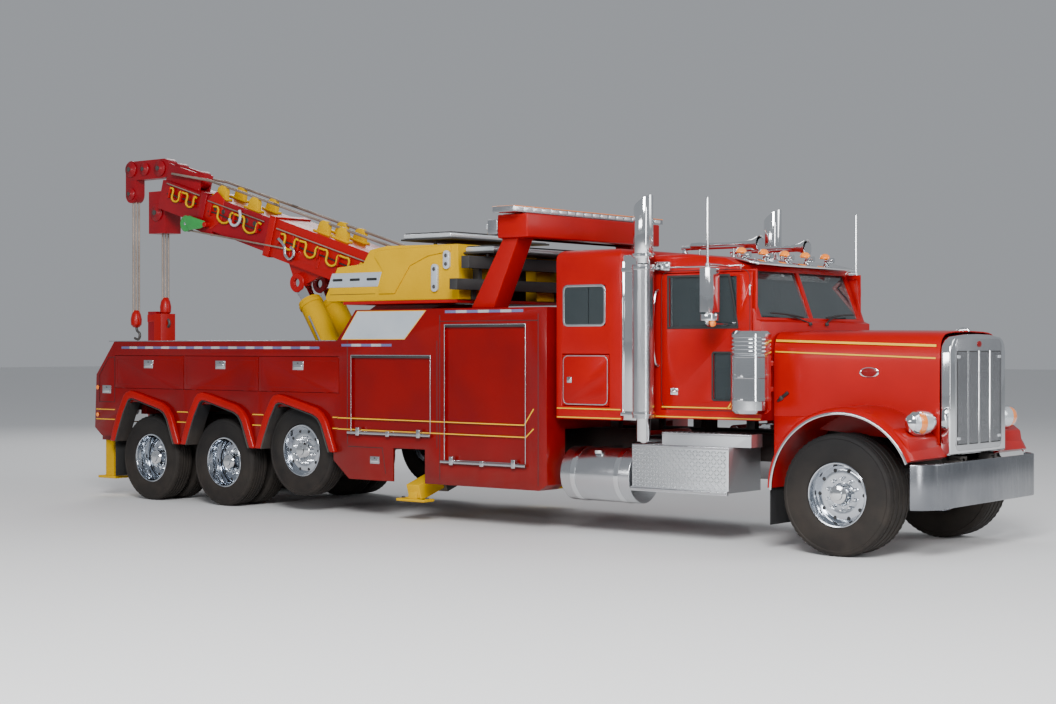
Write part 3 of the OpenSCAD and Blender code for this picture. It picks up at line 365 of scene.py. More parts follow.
class Work:
    """One piece on the bench: shapes are added to it, then it is finished and mounted.

    The shapes count X from the front axle, and mount moves them to the frame's own X. Casts,
    the copies of frame nodes, are there already.
    """

    def __init__(self, name: str) -> None:
        """Starts an empty piece of that name."""
        self.name = name
        self.shapes: list[Thing] = []
        self.cast: list[Thing] = []

    def keep(self, thing: Thing, finish: Optional[Finish]) -> Thing:
        """Adds one made shape, with its own finish if it has one."""
        if finish:
            thing.data.materials.clear()
            thing.data.materials.append(finish.material())
        self.shapes.append(thing)
        return thing

    def slab(self, low: Point, high: Point, round_to: float = 0.004, steps: int = 2,
            finish: Optional[Finish] = None, turn: Optional[Matrix] = None) -> Thing:
        """Adds a box with rounded edges.

        Args:
            low: one corner.
            high: the corner across from it.
            round_to: the radius of its edges.
            steps: facets in each rounded edge.
            finish: a finish of its own.
            turn: a matrix that moves it after shaping.

        Returns:
            The shape.
        """
        deselect_all()
        middle = [(a + b) / 2 for a, b in zip(low, high)]
        size = [abs(b - a) for a, b in zip(low, high)]
        bpy.ops.mesh.primitive_cube_add(size=1, location=middle, scale=size)
        thing = bpy.context.object
        bpy.ops.object.transform_apply(location=True, rotation=True, scale=True)
        if round_to:
            rounded(thing, min(round_to, min(size) * 0.45), steps)
        if turn:
            thing.data.transform(turn)
        return self.keep(thing, finish)

    def section(self, outline: Sequence[Flat], axis: Axis, start: float, stop: float,
            round_to: float = 0.0, steps: int = 2, finish: Optional[Finish] = None,
            turn: Optional[Matrix] = None, angle: float = SHARP) -> Thing:
        """Adds a flat outline carried along an axis.

        Args:
            outline: points in the two other axes, in order: (y, z), (x, z) or (x, y).
            axis: the way it is carried.
            start: where it starts along the axis.
            stop: where it stops.
            round_to: the radius of its edges.
            steps: facets in each rounded edge.
            finish: a finish of its own.
            turn: a matrix that moves it after shaping.
            angle: the sharpest angle that stays unrounded.

        Returns:
            The shape.
        """
        deselect_all()
        bpy.ops.mesh.primitive_circle_add(vertices=len(outline), fill_type="NGON")
        thing = bpy.context.object
        for point, (a, b) in zip(thing.data.vertices, outline):
            place = [a, b]
            place.insert(axis.value, start)
            point.co = place
        edit()
        way = [0.0, 0.0, 0.0]
        way[axis.value] = stop - start
        bpy.ops.mesh.extrude_region_move(TRANSFORM_OT_translate={"value": way})
        settle()
        thing.location = (0, 0, 0)
        if round_to:
            rounded(thing, round_to, steps, angle)
        if turn:
            thing.data.transform(turn)
        return self.keep(thing, finish)

    def turned(self, profile: Sequence[Flat], centre: Point, axis: Axis = Axis.Y, steps: int = 48,
            finish: Optional[Finish] = None, turn: Optional[Matrix] = None) -> Thing:
        """Adds a closed profile spun round an axis.

        Args:
            profile: points as (radius, place along the axis), in order round the section.
            centre: where the axis passes.
            axis: the way the axis points.
            steps: facets round it.
            finish: a finish of its own.
            turn: a matrix that moves it after shaping.

        Returns:
            The shape.
        """
        deselect_all()
        bpy.ops.mesh.primitive_circle_add(vertices=len(profile), fill_type="NOTHING")
        thing = bpy.context.object
        for point, (radius, along) in zip(thing.data.vertices, profile):
            point.co = (radius, 0, along)
        edit()
        bpy.ops.mesh.spin(steps=steps, angle=math.tau, center=(0, 0, 0), axis=(0, 0, 1))
        bpy.ops.object.mode_set(mode="OBJECT")
        outward(thing)
        stand = {Axis.X: Matrix.Rotation(math.pi / 2, 4, "Y"),
            Axis.Y: Matrix.Rotation(-math.pi / 2, 4, "X"), Axis.Z: Matrix.Identity(4)}
        thing.data.transform(Matrix.Translation(centre) @ stand[axis])
        if turn:
            thing.data.transform(turn)
        return self.keep(thing, finish)

    def rod(self, start: Point, stop: Point, radius: float, sides: int = 20,
            finish: Optional[Finish] = None, chamfer: float = 0.15) -> Thing:
        """Adds a round bar with eased ends between two points.

        Args:
            start: the middle of one end.
            stop: the middle of the other.
            radius: its radius.
            sides: facets round it.
            finish: a finish of its own.
            chamfer: the share of the radius taken off the rims.

        Returns:
            The shape.
        """
        a, b = Vector(start), Vector(stop)
        long = (b - a).length
        c = radius * chamfer
        profile = [(0, 0), (radius - c, 0), (radius, c), (radius, long - c), (radius - c, long),
            (0, long)]
        turn = Matrix.Translation(a) @ (b - a).to_track_quat("Z", "Y").to_matrix().to_4x4()
        return self.turned(profile, (0, 0, 0), Axis.Z, sides, finish, turn)

    def pipe(self, path: Sequence[Point], radius: float, sides: int = 3,
            finish: Optional[Finish] = None) -> Thing:
        """Adds a bent tube through the points of a path.

        Args:
            path: the points it passes.
            radius: its radius.
            sides: resolution of its round.
            finish: a finish of its own.

        Returns:
            The shape.
        """
        deselect_all()
        bpy.ops.curve.primitive_bezier_curve_add(location=(0, 0, 0))
        thing = bpy.context.object
        line = thing.data.splines[0]
        line.bezier_points.add(len(path) - 2)
        for knot, place in zip(line.bezier_points, path):
            knot.co = place
            knot.handle_left_type = knot.handle_right_type = "AUTO"
        thing.data.bevel_depth = radius
        thing.data.bevel_resolution = sides
        thing.data.resolution_u = 6
        thing.data.use_fill_caps = True
        bpy.ops.object.convert(target="MESH")
        thing = bpy.context.object
        thing.data.transform(thing.matrix_world)
        thing.matrix_world = Matrix.Identity(4)
        return self.keep(thing, finish)

    def copies(self, shape: Thing, moves: Iterable[Matrix]) -> None:
        """Adds a copy of a shape, with its own mesh, for each move."""
        for move in moves:
            twin = shape.copy()
            twin.data = shape.data.copy()
            twin.data.transform(move)
            if move.determinant() < 0:
                twin.data.flip_normals()
            bpy.context.scene.collection.objects.link(twin)
            self.shapes.append(twin)

    def stamp(self, shape: Thing, moves: Iterable[Matrix]) -> None:
        """Puts a copy of a shape at each move and takes the shape itself away."""
        self.shapes.remove(shape)
        self.copies(shape, moves)
        bpy.data.objects.remove(shape)

    def mirrored(self, first: int = 0) -> None:
        """Adds the mirror image of each shape, from one of them on."""
        for shape in list(self.shapes[first:]):
            self.copies(shape, [FLIP])

    def cad(self, node: str, finish: Finish, width: float = 0.0, steps: int = 2,
            above: float = 99.0, crown: float = 0.0) -> Thing:
        """Adds a copy of a frame node, merged, with its edges rounded.

        Args:
            node: the frame node's name.
            finish: its finish.
            width: the radius of its edges, or 0 to leave them.
            steps: facets in each rounded edge.
            above: the height above which outer edges get the larger radius.
            crown: that larger radius.

        Returns:
            The shape.
        """
        source = frame["nodes"][node]
        thing = source.copy()
        thing.data = source.data.copy()
        thing.parent = None
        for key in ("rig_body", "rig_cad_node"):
            if key in thing:
                del thing[key]
        bpy.context.scene.collection.objects.link(thing)
        pick(thing)
        edit()
        bpy.ops.mesh.remove_doubles(threshold=CAD_MERGE)
        bpy.ops.mesh.dissolve_limited(angle_limit=math.radians(CAD_FLAT))
        bpy.ops.object.mode_set(mode="OBJECT")
        if crown:
            self.crowned(thing, above, crown)
        if width:
            rounded(thing, width, steps)
        self.cast.append(thing)
        return self.keep(thing, finish)

    def crowned(self, thing: Thing, above: float, radius: float) -> None:
        """Rounds the outermost high edges of a shell by a large radius.

        Args:
            thing: the shell.
            above: the height over which its edges are taken.
            radius: the radius.
        """
        mesh = thing.data
        wide = max((abs(v.co.y) for v in mesh.vertices if v.co.z > above)) - 0.02
        bpy.ops.object.mode_set(mode="EDIT")
        bpy.ops.mesh.select_all(action="DESELECT")
        bpy.ops.mesh.select_mode(type="EDGE")
        bpy.ops.object.mode_set(mode="OBJECT")
        for edge in mesh.edges:
            a, b = (mesh.vertices[i].co for i in edge.vertices)
            edge.select = min(a.z, b.z) > above and min(abs(a.y),
                abs(b.y)) > wide and ((a - b).length > 0.2)
        bpy.ops.object.mode_set(mode="EDIT")
        bpy.ops.mesh.bevel(offset=radius, segments=6, affect="EDGES")
        bpy.ops.mesh.select_mode(type="VERT")
        bpy.ops.object.mode_set(mode="OBJECT")

    def mount(self, body: str, finish: Finish, *nodes: str, smooth: float = 32) -> Thing:
        """Joins the shapes into the finished piece and lets it ride on a body.

        Args:
            body: the body that it moves with.
            finish: the finish of every shape that has none.
            nodes: frame nodes that it stands for.
            smooth: the angle under which its edges are shaded smooth.

        Returns:
            The piece.
        """
        for shape in self.shapes:
            if shape not in self.cast:
                shape.data.transform(shift(AXLE_X, 0, 0))
            if not shape.data.materials or shape.data.materials[0] is None:
                shape.data.materials.clear()
                shape.data.materials.append(finish.material())
        deselect_all()
        for shape in self.shapes:
            shape.select_set(True)
        bpy.context.view_layer.objects.active = self.shapes[0]
        if len(self.shapes) > 1:
            bpy.ops.object.join()
        piece = bpy.context.object
        piece.data.transform(piece.matrix_world)
        piece.matrix_world = Matrix.Identity(4)
        piece.name = piece.data.name = self.name
        bpy.ops.object.shade_smooth_by_angle(angle=math.radians(smooth))
        if nodes:
            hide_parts(*nodes)
        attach(piece, body)
        LOG.info("%s on %s: %d faces", self.name, body, len(piece.data.polygons))
        return piece


def both(name: str) -> list[tuple[str, int]]:
    """Returns the left and right names of a paired thing, each with its sign."""
    return [(f"{name}_left", 1), (f"{name}_right", -1)]


def mm(*values: float, at: Flat = (0, 0), by: Flat = (1, 1)) -> list[Flat]:
    """Returns an outline in metres from its points' places in millimetres.

    Args:
        values: the two places of each point in turn.
        at: the point that they count from, in metres.
        by: the sign or share of each place.

    Returns:
        The points.
    """
    return [(at[0] + a / 1000 * by[0], at[1] + b / 1000 * by[1])
        for a, b in zip(values[::2], values[1::2])]


def shift(x: float, y: float, z: float) -> Matrix:
    """Returns a move by three distances."""
    return Matrix.Translation((x, y, z))


def spun(degrees: float, axis: str) -> Matrix:
    """Returns a turn about an axis."""
    return Matrix.Rotation(math.radians(degrees), 4, axis)


def grid(first: float, last: float, count: int) -> list[float]:
    """Returns evenly spread places from first to last."""
    return [first + (last - first) * i / (count - 1) for i in range(count)]


# Wheels ------------------------------------------------------------------
@dataclass
class Wheel:
    """A tyre on its polished rim, or a pair of them, on one hub."""

    node: str
    body: str
    x: float
    z: float
    tyre_y: tuple[float, ...]
    sign: int
    radius: float = 0.511
    width: float = 0.27
    rim: float = 0.29
    disc: float = -0.09
    hub_out: float = 0.06
    lugs: int = 52
    nuts: int = 10

    def place(self, y: float) -> Point:
        """Returns a point on the axle at a distance from the truck's middle."""
        return (self.x, y * self.sign, self.z)

    def tyre_profile(self) -> list[Flat]:
        """Returns the closed section of a tyre with its grooves."""
        h, r, m = self.width / 2, self.radius, self.rim
        left = [(m + 0.001, -h + 0.034), (m + 0.012, -h + 0.016), (m + 0.045, -h + 0.004),
            (m + 0.075, -h), (r - 0.105, -h + 0.002), (r - 0.05, -h + 0.012),
            (r - 0.04, -h + 0.007), (r - 0.016, -h + 0.018), (r - 0.004, -h + 0.036)]
        tread: list[Flat] = []
        for middle in grid(-h + 0.075, h - 0.075, 4):
            tread += mm(0, -11, -14, -6, -14, 6, 0, 11, at=(r, middle))
        right = [(a, -b) for a, b in reversed(left)]
        return left + tread + right

    def tyre(self, work: Work, y: float) -> None:
        """Adds the tyre and the lugs of its shoulders."""
        work.turned(self.tyre_profile(), self.place(y), Axis.Y, 72, TYRE)
        h = self.width / 2
        lug = work.slab((-0.016, h - 0.062, self.radius - 0.03),
            (0.016, h - 0.036, self.radius - 0.0008), 0, finish=TYRE)
        moves = []
        for i in range(self.lugs):
            turn = Matrix.Rotation(math.tau * i / self.lugs, 4, "Y")
            here = Matrix.Translation(self.place(y)) @ turn
            moves += [here, here @ Matrix.Rotation(math.pi, 4, "Z")]
        work.stamp(lug, moves)

    def rim_shell(self, work: Work, y: float, disc: float) -> None:
        """Adds the rim, its disc, its hand holes and the nuts.

        Args:
            work: the piece on the bench.
            y: the middle of the rim.
            disc: where the disc stands from there, outwards positive.
        """
        h, m = self.width / 2, self.rim
        out = self.sign
        barrel = [(m - 0.004, -h + 0.022), (m + 0.004, -h + 0.026), (m - 0.004, -h + 0.048),
            (m - 0.02, -h + 0.075), (m - 0.024, 0), (m - 0.02, h - 0.075), (m - 0.004, h - 0.048),
            (m + 0.004, h - 0.026), (m - 0.004, h - 0.022), (m - 0.013, h - 0.024),
            (m - 0.016, h - 0.044), (m - 0.032, h - 0.075), (m - 0.036, 0),
            (m - 0.032, -h + 0.075), (m - 0.016, -h + 0.044), (m - 0.013, -h + 0.024)]
        work.turned([(r, a * out) for r, a in barrel], self.place(y), Axis.Y, 60, ALLOY)
        face = [(0.085, disc - 0.014), (m - 0.03, disc - 0.014), (m - 0.026, disc),
            (m - 0.06, disc + 0.012), (0.215, disc + 0.016), (0.165, disc + 0.01),
            (0.085, disc + 0.01)]
        work.turned([(r, a * out) for r, a in face], self.place(y), Axis.Y, 60, ALLOY)
        hole = work.turned(mm(0, 0, 16, 0, 19, 3, 16, 6, 0, 5.5, by=(1, out)),
            (0.222, (y + disc + 0.0115) * out, 0), Axis.Y, 18, RUBBER)
        nut = work.turned(mm(0, 0, 19, 0, 19, 12, 14, 20, 13, 45, 6, 52, 0, 52, by=(1, out)),
            (0.1425, (y + disc + 0.008) * out, 0), Axis.Y, 12, CHROME)
        middle = shift(self.x, 0, self.z)
        for thing, first in ((hole, 0), (nut, 0.5)):
            work.stamp(thing, [middle @ Matrix.Rotation(math.tau * (i + first) / self.nuts, 4, "Y")
                for i in range(self.nuts)])

    def hub(self, work: Work, y: float, disc: float, out: float) -> None:
        """Adds the hub and its domed cap, from the disc outwards."""
        s = self.sign
        profile = [(0, disc), (0.105, disc), (0.105, disc + 0.03), (0.098, disc + 0.042),
            (0.092, out - 0.03), (0.08, out - 0.014), (0.05, out - 0.008), (0.046, out + 0.002),
            (0, out + 0.006)]
        work.turned([(r, a * s) for r, a in profile], self.place(y), Axis.Y, 36, CHROME)

    def build(self) -> Thing:
        """Returns the finished wheel."""
        work = Work(self.node + "_finished")
        for y in self.tyre_y:
            self.tyre(work, y)
        outer = self.tyre_y[0]
        self.rim_shell(work, outer, self.disc)
        self.hub(work, outer, self.disc, self.hub_out)
        if len(self.tyre_y) > 1:
            inner = self.tyre_y[1]
            work.turned(mm(50, 75, 270, 75, 270, 105, 50, 105, by=(1, self.sign)),
                self.place(inner), Axis.Y, 36, BLACK)
            work.turned(mm(262, -110, 289, -110, 289, 110, 262, 110), self.place(inner), Axis.Y,
                40, BLACK)
        return work.mount(self.body, TYRE, self.node, smooth=28)


def wheels() -> None:
    """Builds all eight wheel bodies."""
    for name, sign in both("wheel_front"):
        side = name.rsplit("_", 1)[1]
        Wheel(name, f"front_wheel_{side}", 0.0, 0.548, (1.03,), sign, radius=0.548, width=0.4,
            disc=0.06, hub_out=0.165, lugs=56).build()
    for name, sign in both("wheel_lift"):
        side = name.rsplit("_", 1)[1]
        Wheel(name, f"lift_wheel_{side}", -6.806, 0.696, (1.095,), sign, disc=0.045,
            hub_out=0.125).build()
    for label, x in (("drive", -8.106), ("rear", -9.426)):
        for name, sign in both(f"wheel_{label}"):
            side = name.rsplit("_", 1)[1]
            Wheel(name, f"{label}_wheels_{side}", x, 0.511, (1.095, 0.765), sign).build()


# Front end ---------------------------------------------------------------
@dataclass
class Bonnet:
    """The bonnet shell, its wings and its stripes."""

    rear: float = -0.85
    nose: float = 0.702
    rear_half: float = 0.86
    nose_half: float = 0.6
    top: float = 2.03
    arch: Flat = (0.05, 0.57)
    rows: int = 14

    def half(self, x: float) -> float:
        """Returns the half width at a station."""
        t = (x - self.rear) / (self.nose - self.rear)
        return self.rear_half + (self.nose_half - self.rear_half) * t

    def rib(self, x: float) -> list[Flat]:
        """Returns the points of one cross section, from one foot over the top to the other."""
        w = self.half(x)
        t = (x - self.rear) / (self.nose - self.rear)
        foot = 1.15 - 0.15 * t
        sag = 0.012 * t * t
        right = [(w - 0.004, foot), (w, foot + 0.1), (w + 0.004, 1.45), (w, 1.72),
            (w - 0.008, 1.84), (w - 0.024, 1.915), (w - 0.056, 1.968), (w - 0.105, 2.0),
            (w - 0.18, 2.014), (w * 0.5, 2.022), (0.0, self.top - 0.001)]
        right = [(y, z - sag * (z > 1.8)) for y, z in right]
        left = [(-y, z) for y, z in reversed(right[:-1])]
        return right + left

    def shell(self, work: Work) -> None:
        """Adds the lofted bonnet skin with its thickness."""
        across = len(self.rib(self.rear))
        deselect_all()
        bpy.ops.mesh.primitive_grid_add(x_subdivisions=self.rows, y_subdivisions=across - 1,
            size=1)
        skin = bpy.context.object
        xs = sorted({round(v.co.x, 4) for v in skin.data.vertices})
        ys = sorted({round(v.co.y, 4) for v in skin.data.vertices})
        for v in skin.data.vertices:
            i, j = xs.index(round(v.co.x, 4)), ys.index(round(v.co.y, 4))
            x = self.rear + (self.nose - self.rear) * i / (len(xs) - 1)
            y, z = self.rib(x)[j]
            v.co = (x, -y, z)
        pick(skin)
        edit()
        settle()
        middle = skin.data.polygons[len(skin.data.polygons) // 2]
        if middle.normal.z < 0:
            skin.data.flip_normals()
        thick = skin.modifiers.new("thick", "SOLIDIFY")
        thick.thickness = 0.01
        thick.offset = -1
        bpy.ops.object.modifier_apply(modifier=thick.name)
        work.keep(skin, RED)

    def wing(self, work: Work, sign: int) -> None:
        """Adds one front wing with its bright lip.

        Args:
            work: the piece on the bench.
            sign: the side, +1 left or -1 right.
        """
        cx = self.arch[0]
        skin = mm(560, 709, 1195, 709, 1228, 704, 1240, 712, 1240, 738, 1222, 752, 1150, 762,
            960, 764, 740, 770, 560, 775)
        self.swept(work, skin, sign, 24.5, 179.0, RED)
        lip = mm(1232, 699, 1246, 699, 1248, 712, 1244, 722, 1236, 716)
        self.swept(work, lip, sign, 23.5, 180.5, CHROME)
        front = mm(585, 885, 655, 872, 664, 900, 640, 1060, 560, 1120, 480, 1160, at=(cx, 0))
        y0, y1 = sorted((0.615 * sign, 1.19 * sign))
        work.section(front, Axis.Y, y0, y1, 0.018, 3, RED)
        rear = mm(0, 660, 150, 600, 185, 860, 350, 1140, 350, 1220, 0, 1220, at=(self.rear, 0))
        y0, y1 = sorted((0.842 * sign, 0.858 * sign))
        work.section(rear, Axis.Y, y0, y1, 0.004, 2, RED)

    def swept(self, work: Work, profile: Sequence[Flat], sign: int, start: float, stop: float,
            finish: Finish) -> None:
        """Adds a closed profile, as (place across, radius), swept over the wheel.

        Args:
            work: the piece on the bench.
            profile: its points.
            sign: the side of the truck.
            start: the angle of its front end above level, in degrees.
            stop: the angle of its rear end.
            finish: its finish.
        """
        deselect_all()
        bpy.ops.mesh.primitive_circle_add(vertices=len(profile), fill_type="NGON")
        thing = bpy.context.object
        a = math.radians(start)
        for point, (y, r) in zip(thing.data.vertices, profile):
            point.co = (r * math.cos(a), y * sign, r * math.sin(a))
        edit()
        bpy.ops.mesh.spin(steps=30, angle=math.radians(stop - start), center=(0, 0, 0),
            axis=(0, 1, 0))
        settle()
        thing.data.transform(shift(self.arch[0], 0, self.arch[1]))
        work.keep(thing, finish)

    def stripes(self, work: Work) -> None:
        """Adds the gold lines along both flanks."""
        for sign in (1, -1):
            for high, low, tall in ((1.927, 1.88, 0.011), (1.824, 1.768, 0.007)):
                x0, x1 = self.rear + 0.015, self.nose - 0.035
                a, b = self.half(x0) * sign, self.half(x1) * sign
                lean = -0.01 if high > 1.9 else 0.003
                self.ribbon(work, (x0, a + lean * sign, high), (x1, b + lean * sign, low), tall)

    def ribbon(self, work: Work, start: Point, stop: Point, tall: float) -> None:
        """Adds one thin painted line that stands just off a flank."""
        a, b = Vector(start), Vector(stop)
        turn = Matrix.Translation(a) @ (b - a).to_track_quat("X", "Z").to_matrix().to_4x4()
        work.slab((0, -0.003, -tall), ((b - a).length, 0.003, tall), 0.0015, 1, STRIPE, turn)

    def build(self) -> None:
        """Builds the bonnet, the grille and the headlamps."""
        work = Work("bonnet_shell")
        self.shell(work)
        self.wing(work, 1)
        self.wing(work, -1)
        self.stripes(work)
        for sign in (1, -1):
            y = self.half(0.06) * sign
            oval = shift(0.06, y, 1.636) @ spun(-9.5 * sign, "Z") @ Matrix.Diagonal((1.9, 1, 1, 1))
            for radius, stand, finish in ((0.048, 0.01, CHROME), (0.041, 0.013, CRIMSON)):
                work.turned([(0, 0), (radius, 0), (radius, stand * sign * 0.7),
                    (radius * 0.9, stand * sign), (0, stand * sign)], (0, 0, 0), Axis.Y, 36,
                    finish, oval)
            low = shift(self.rear + 0.085, self.half(self.rear + 0.085) * sign, 1.4) @ spun(-38,
                "Y")
            work.slab((-0.075, -0.012, -0.017), (0.075, 0.014, 0.017), 0.01, 3, RUBBER, low)
            work.slab((-0.03, -0.016, -0.022), (0.0, 0.018, 0.022), 0.006, 2, IRON, low)
        work.section(mm(560, 2004, 700, 2004, 716, 2016, 690, 2044, 640, 2052, 585, 2030), Axis.Y,
            -0.02, 0.02, 0.012, 3, CHROME)
        work.mount("bonnet", RED, "hood", smooth=40)
        self.grille()
        self.lamps()

    def grille(self) -> None:
        """Builds the bright grille shell, its woven mesh and bars."""
        work = Work("grille_shell")
        half, low, high = 0.586, 0.9, 1.985
        outline = [(-half, low), (half, low), (half, high - 0.175), (half - 0.012, high - 0.11),
            (half - 0.046, high - 0.058), (half - 0.105, high - 0.026), (0.25, high - 0.004),
            (0, high), (-0.25, high - 0.004), (-half + 0.105, high - 0.026),
            (-half + 0.046, high - 0.058), (-half + 0.012, high - 0.11), (-half, high - 0.175)]
        work.section(outline, Axis.X, 0.698, 0.8, 0.016, 4, CHROME)
        work.section(round_corners((-0.488, 0.935), (0.488, 1.945), 0.075), Axis.X, 0.79, 0.8035,
            0.003, 2, STAINLESS)
        work.slab((0.796, -0.466, 0.985), (0.8045, 0.466, 1.835), finish=RUBBER)
        for middle in (-0.35, -0.1165, 0.1165, 0.35):
            work.slab((0.8, middle - 0.096, 0.995), (0.806, middle + 0.096, 1.825), 0.002, 1,
                GRILLE_MESH)
        for middle in (-0.2333, 0.0, 0.2333):
            work.section(mm(800, -19, 808.5, -13, 809.8, 0, 808.5, 13, 800, 19, at=(0, middle)),
                Axis.Z, 0.985, 1.835, 0.0, 1, CHROME)
        badge = shift(0.8035, 0, 1.895) @ Matrix.Diagonal((1, 1.5, 1, 1))
        work.turned(mm(0, 0, 28, 0, 28, 4, 22, 6, 0, 6), (0, 0, 0), Axis.X, 32, CRIMSON, badge)
        for y in (-0.43, 0.43):
            for z in (1.045, 1.78):
                work.slab((0.804, y - 0.035, z - 0.013), (0.8095, y + 0.035, z + 0.013),
                    finish=CLEAR)
        work.mount("bonnet", CHROME, "grille")

    def lamps(self) -> None:
        """Builds both headlamp pods with their lenses."""
        work = Work("headlamps")
        flat = shift(0.65, 0, 1.2) @ Matrix.Diagonal((0.66, 1, 0.98, 1))
        work.turned(mm(0, 600, 50, 604, 75, 640, 98, 700, 112, 780, 118, 880, 116, 970, 104, 1030,
            78, 1068, 36, 1086, 0, 1088), (0, 0, 0), Axis.Y, 40, CHROME, flat)
        lens = shift(0.658, 0, 1.2) @ Matrix.Diagonal((0.72, 1, 0.9, 1))
        for profile, finish in ((mm(0, 730, 92, 732, 104, 745, 113, 790, 118, 870, 117, 905,
                0, 905), CLEAR), (mm(0, 912, 117, 912, 113, 965, 104, 1000, 0, 1000), AMBER),
                (mm(0, 1006, 102, 1006, 88, 1040, 66, 1062, 0, 1066), CLEAR)):
            work.turned(profile, (0, 0, 0), Axis.Y, 40, finish, lens)
        work.rod((0.65, 0.618, 1.175), (0.65, 0.705, 1.175), 0.022)
        work.mirrored()
        work.mount("bonnet", CHROME, "headlights")


@dataclass
class Bumper:
    """The swept front bumper."""

    face: float = 0.9
    low: float = 0.45
    high: float = 0.85

    def build(self) -> None:
        """Builds the bumper, its tow eyes and its lamps."""
        work = Work("bumper_swept")
        f = self.face
        outer = mm(-180, -1220, -90, -1165, -20, -1060, 0, -1000, 0, 1000, -20, 1060, -90, 1165,
            -180, 1220, at=(f, 0))
        inner = mm(-190, 1198, -105, 1145, -40, 1045, -22, 990, -22, -990, -40, -1045, -105, -1145,
            -190, -1198, at=(f, 0))
        work.section(outer + inner, Axis.Z, self.low, self.high, 0.01, 3, BUMPER_STEEL)
        for y in (-0.62, 0.62):
            work.turned(mm(0, 0, 52, 0, 56, -3, 50, -6, 0, -4), (f - 0.002, y, 0.64), Axis.X, 28,
                RUBBER)
        work.slab((f - 0.0235, -0.118, 0.575), (f - 0.0005, 0.118, 0.725), 0.02, 3, RUBBER)
        for y in (-0.075, 0.0, 0.075):
            for z in (0.605, 0.695):
                work.turned(mm(0, 0, 26, 0, 28, 0.2, 18, 0.4, 0, 0.4), (f - 0.0006, y, z), Axis.X,
                    16, IRON)
        for sign in (1, -1):
            work.slab((0.66, min(0.371 * sign, 0.429 * sign), 0.771),
                (f - 0.02, max(0.371 * sign, 0.429 * sign), 0.844), 0.006, 2, BLACK)
        work.mount("truck", BUMPER_STEEL, "front_bumper")


# Cab and sleeper ---------------------------------------------------------
def latch(work: Work, middle: Point, sign: int, size: Flat = (0.17, 0.1)) -> None:
    """Adds a flush paddle latch in its bright tray to a side face.

    Args:
        work: the piece on the bench.
        middle: where it sits, on the face.
        sign: the side that the face looks to.
        size: its width and height.
    """
    x, y, z = middle
    w, h = size[0] / 2, size[1] / 2
    tray = sorted((y - 0.004 * sign, y + 0.004 * sign))
    work.slab((x - w, tray[0], z - h), (x + w, tray[1], z + h), 0.006, 2, STAINLESS)
    face = sorted((y, y + 0.009 * sign))
    work.slab((x - w * 0.72, face[0], z - h * 0.66), (x + w * 0.72, face[1], z + h * 0.2),
        finish=CHROME)
    work.rod((x, y, z + h * 0.55), (x, y + 0.008 * sign, z + h * 0.55), 0.009, 14, IRON)


def frame_strip(work: Work, ring: Sequence[Flat], y: float, wide: float, deep: float,
        finish: Finish) -> None:
    """Adds a moulding round a closed outline on a side face.

    Args:
        work: the piece on the bench.
        ring: its corners as (x, z).
        y: the face that it stands on.
        wide: its width.
        deep: how far it stands out, with the sign of the side.
        finish: its finish.
    """
    deselect_all()
    bpy.ops.mesh.primitive_circle_add(vertices=len(ring), fill_type="NGON")
    thing = bpy.context.object
    for point, (a, b) in zip(thing.data.vertices, ring):
        point.co = (a, y, b)
    edit()
    bpy.ops.mesh.inset(thickness=wide)
    bpy.ops.mesh.delete(type="FACE")
    bpy.ops.mesh.select_all(action="SELECT")
    bpy.ops.mesh.extrude_region_move(TRANSFORM_OT_translate={"value": (0, deep, 0)})
    settle()
    rounded(thing, abs(deep) * 0.4, 2)
    work.keep(thing, finish)


def round_corners(low: Flat, high: Flat, radius: float, steps: int = 5) -> list[Flat]:
    """Returns a rectangle with round corners as a ring of points."""
    points = []
    for cx, cz, start in ((high[0] - radius, high[1] - radius, 0),
            (low[0] + radius, high[1] - radius, 90), (low[0] + radius, low[1] + radius, 180),
            (high[0] - radius, low[1] + radius, 270)):
        for i in range(steps + 1):
            a = math.radians(start + 90 * i / steps)
            points.append((cx + radius * math.cos(a), cz + radius * math.sin(a)))
    return points


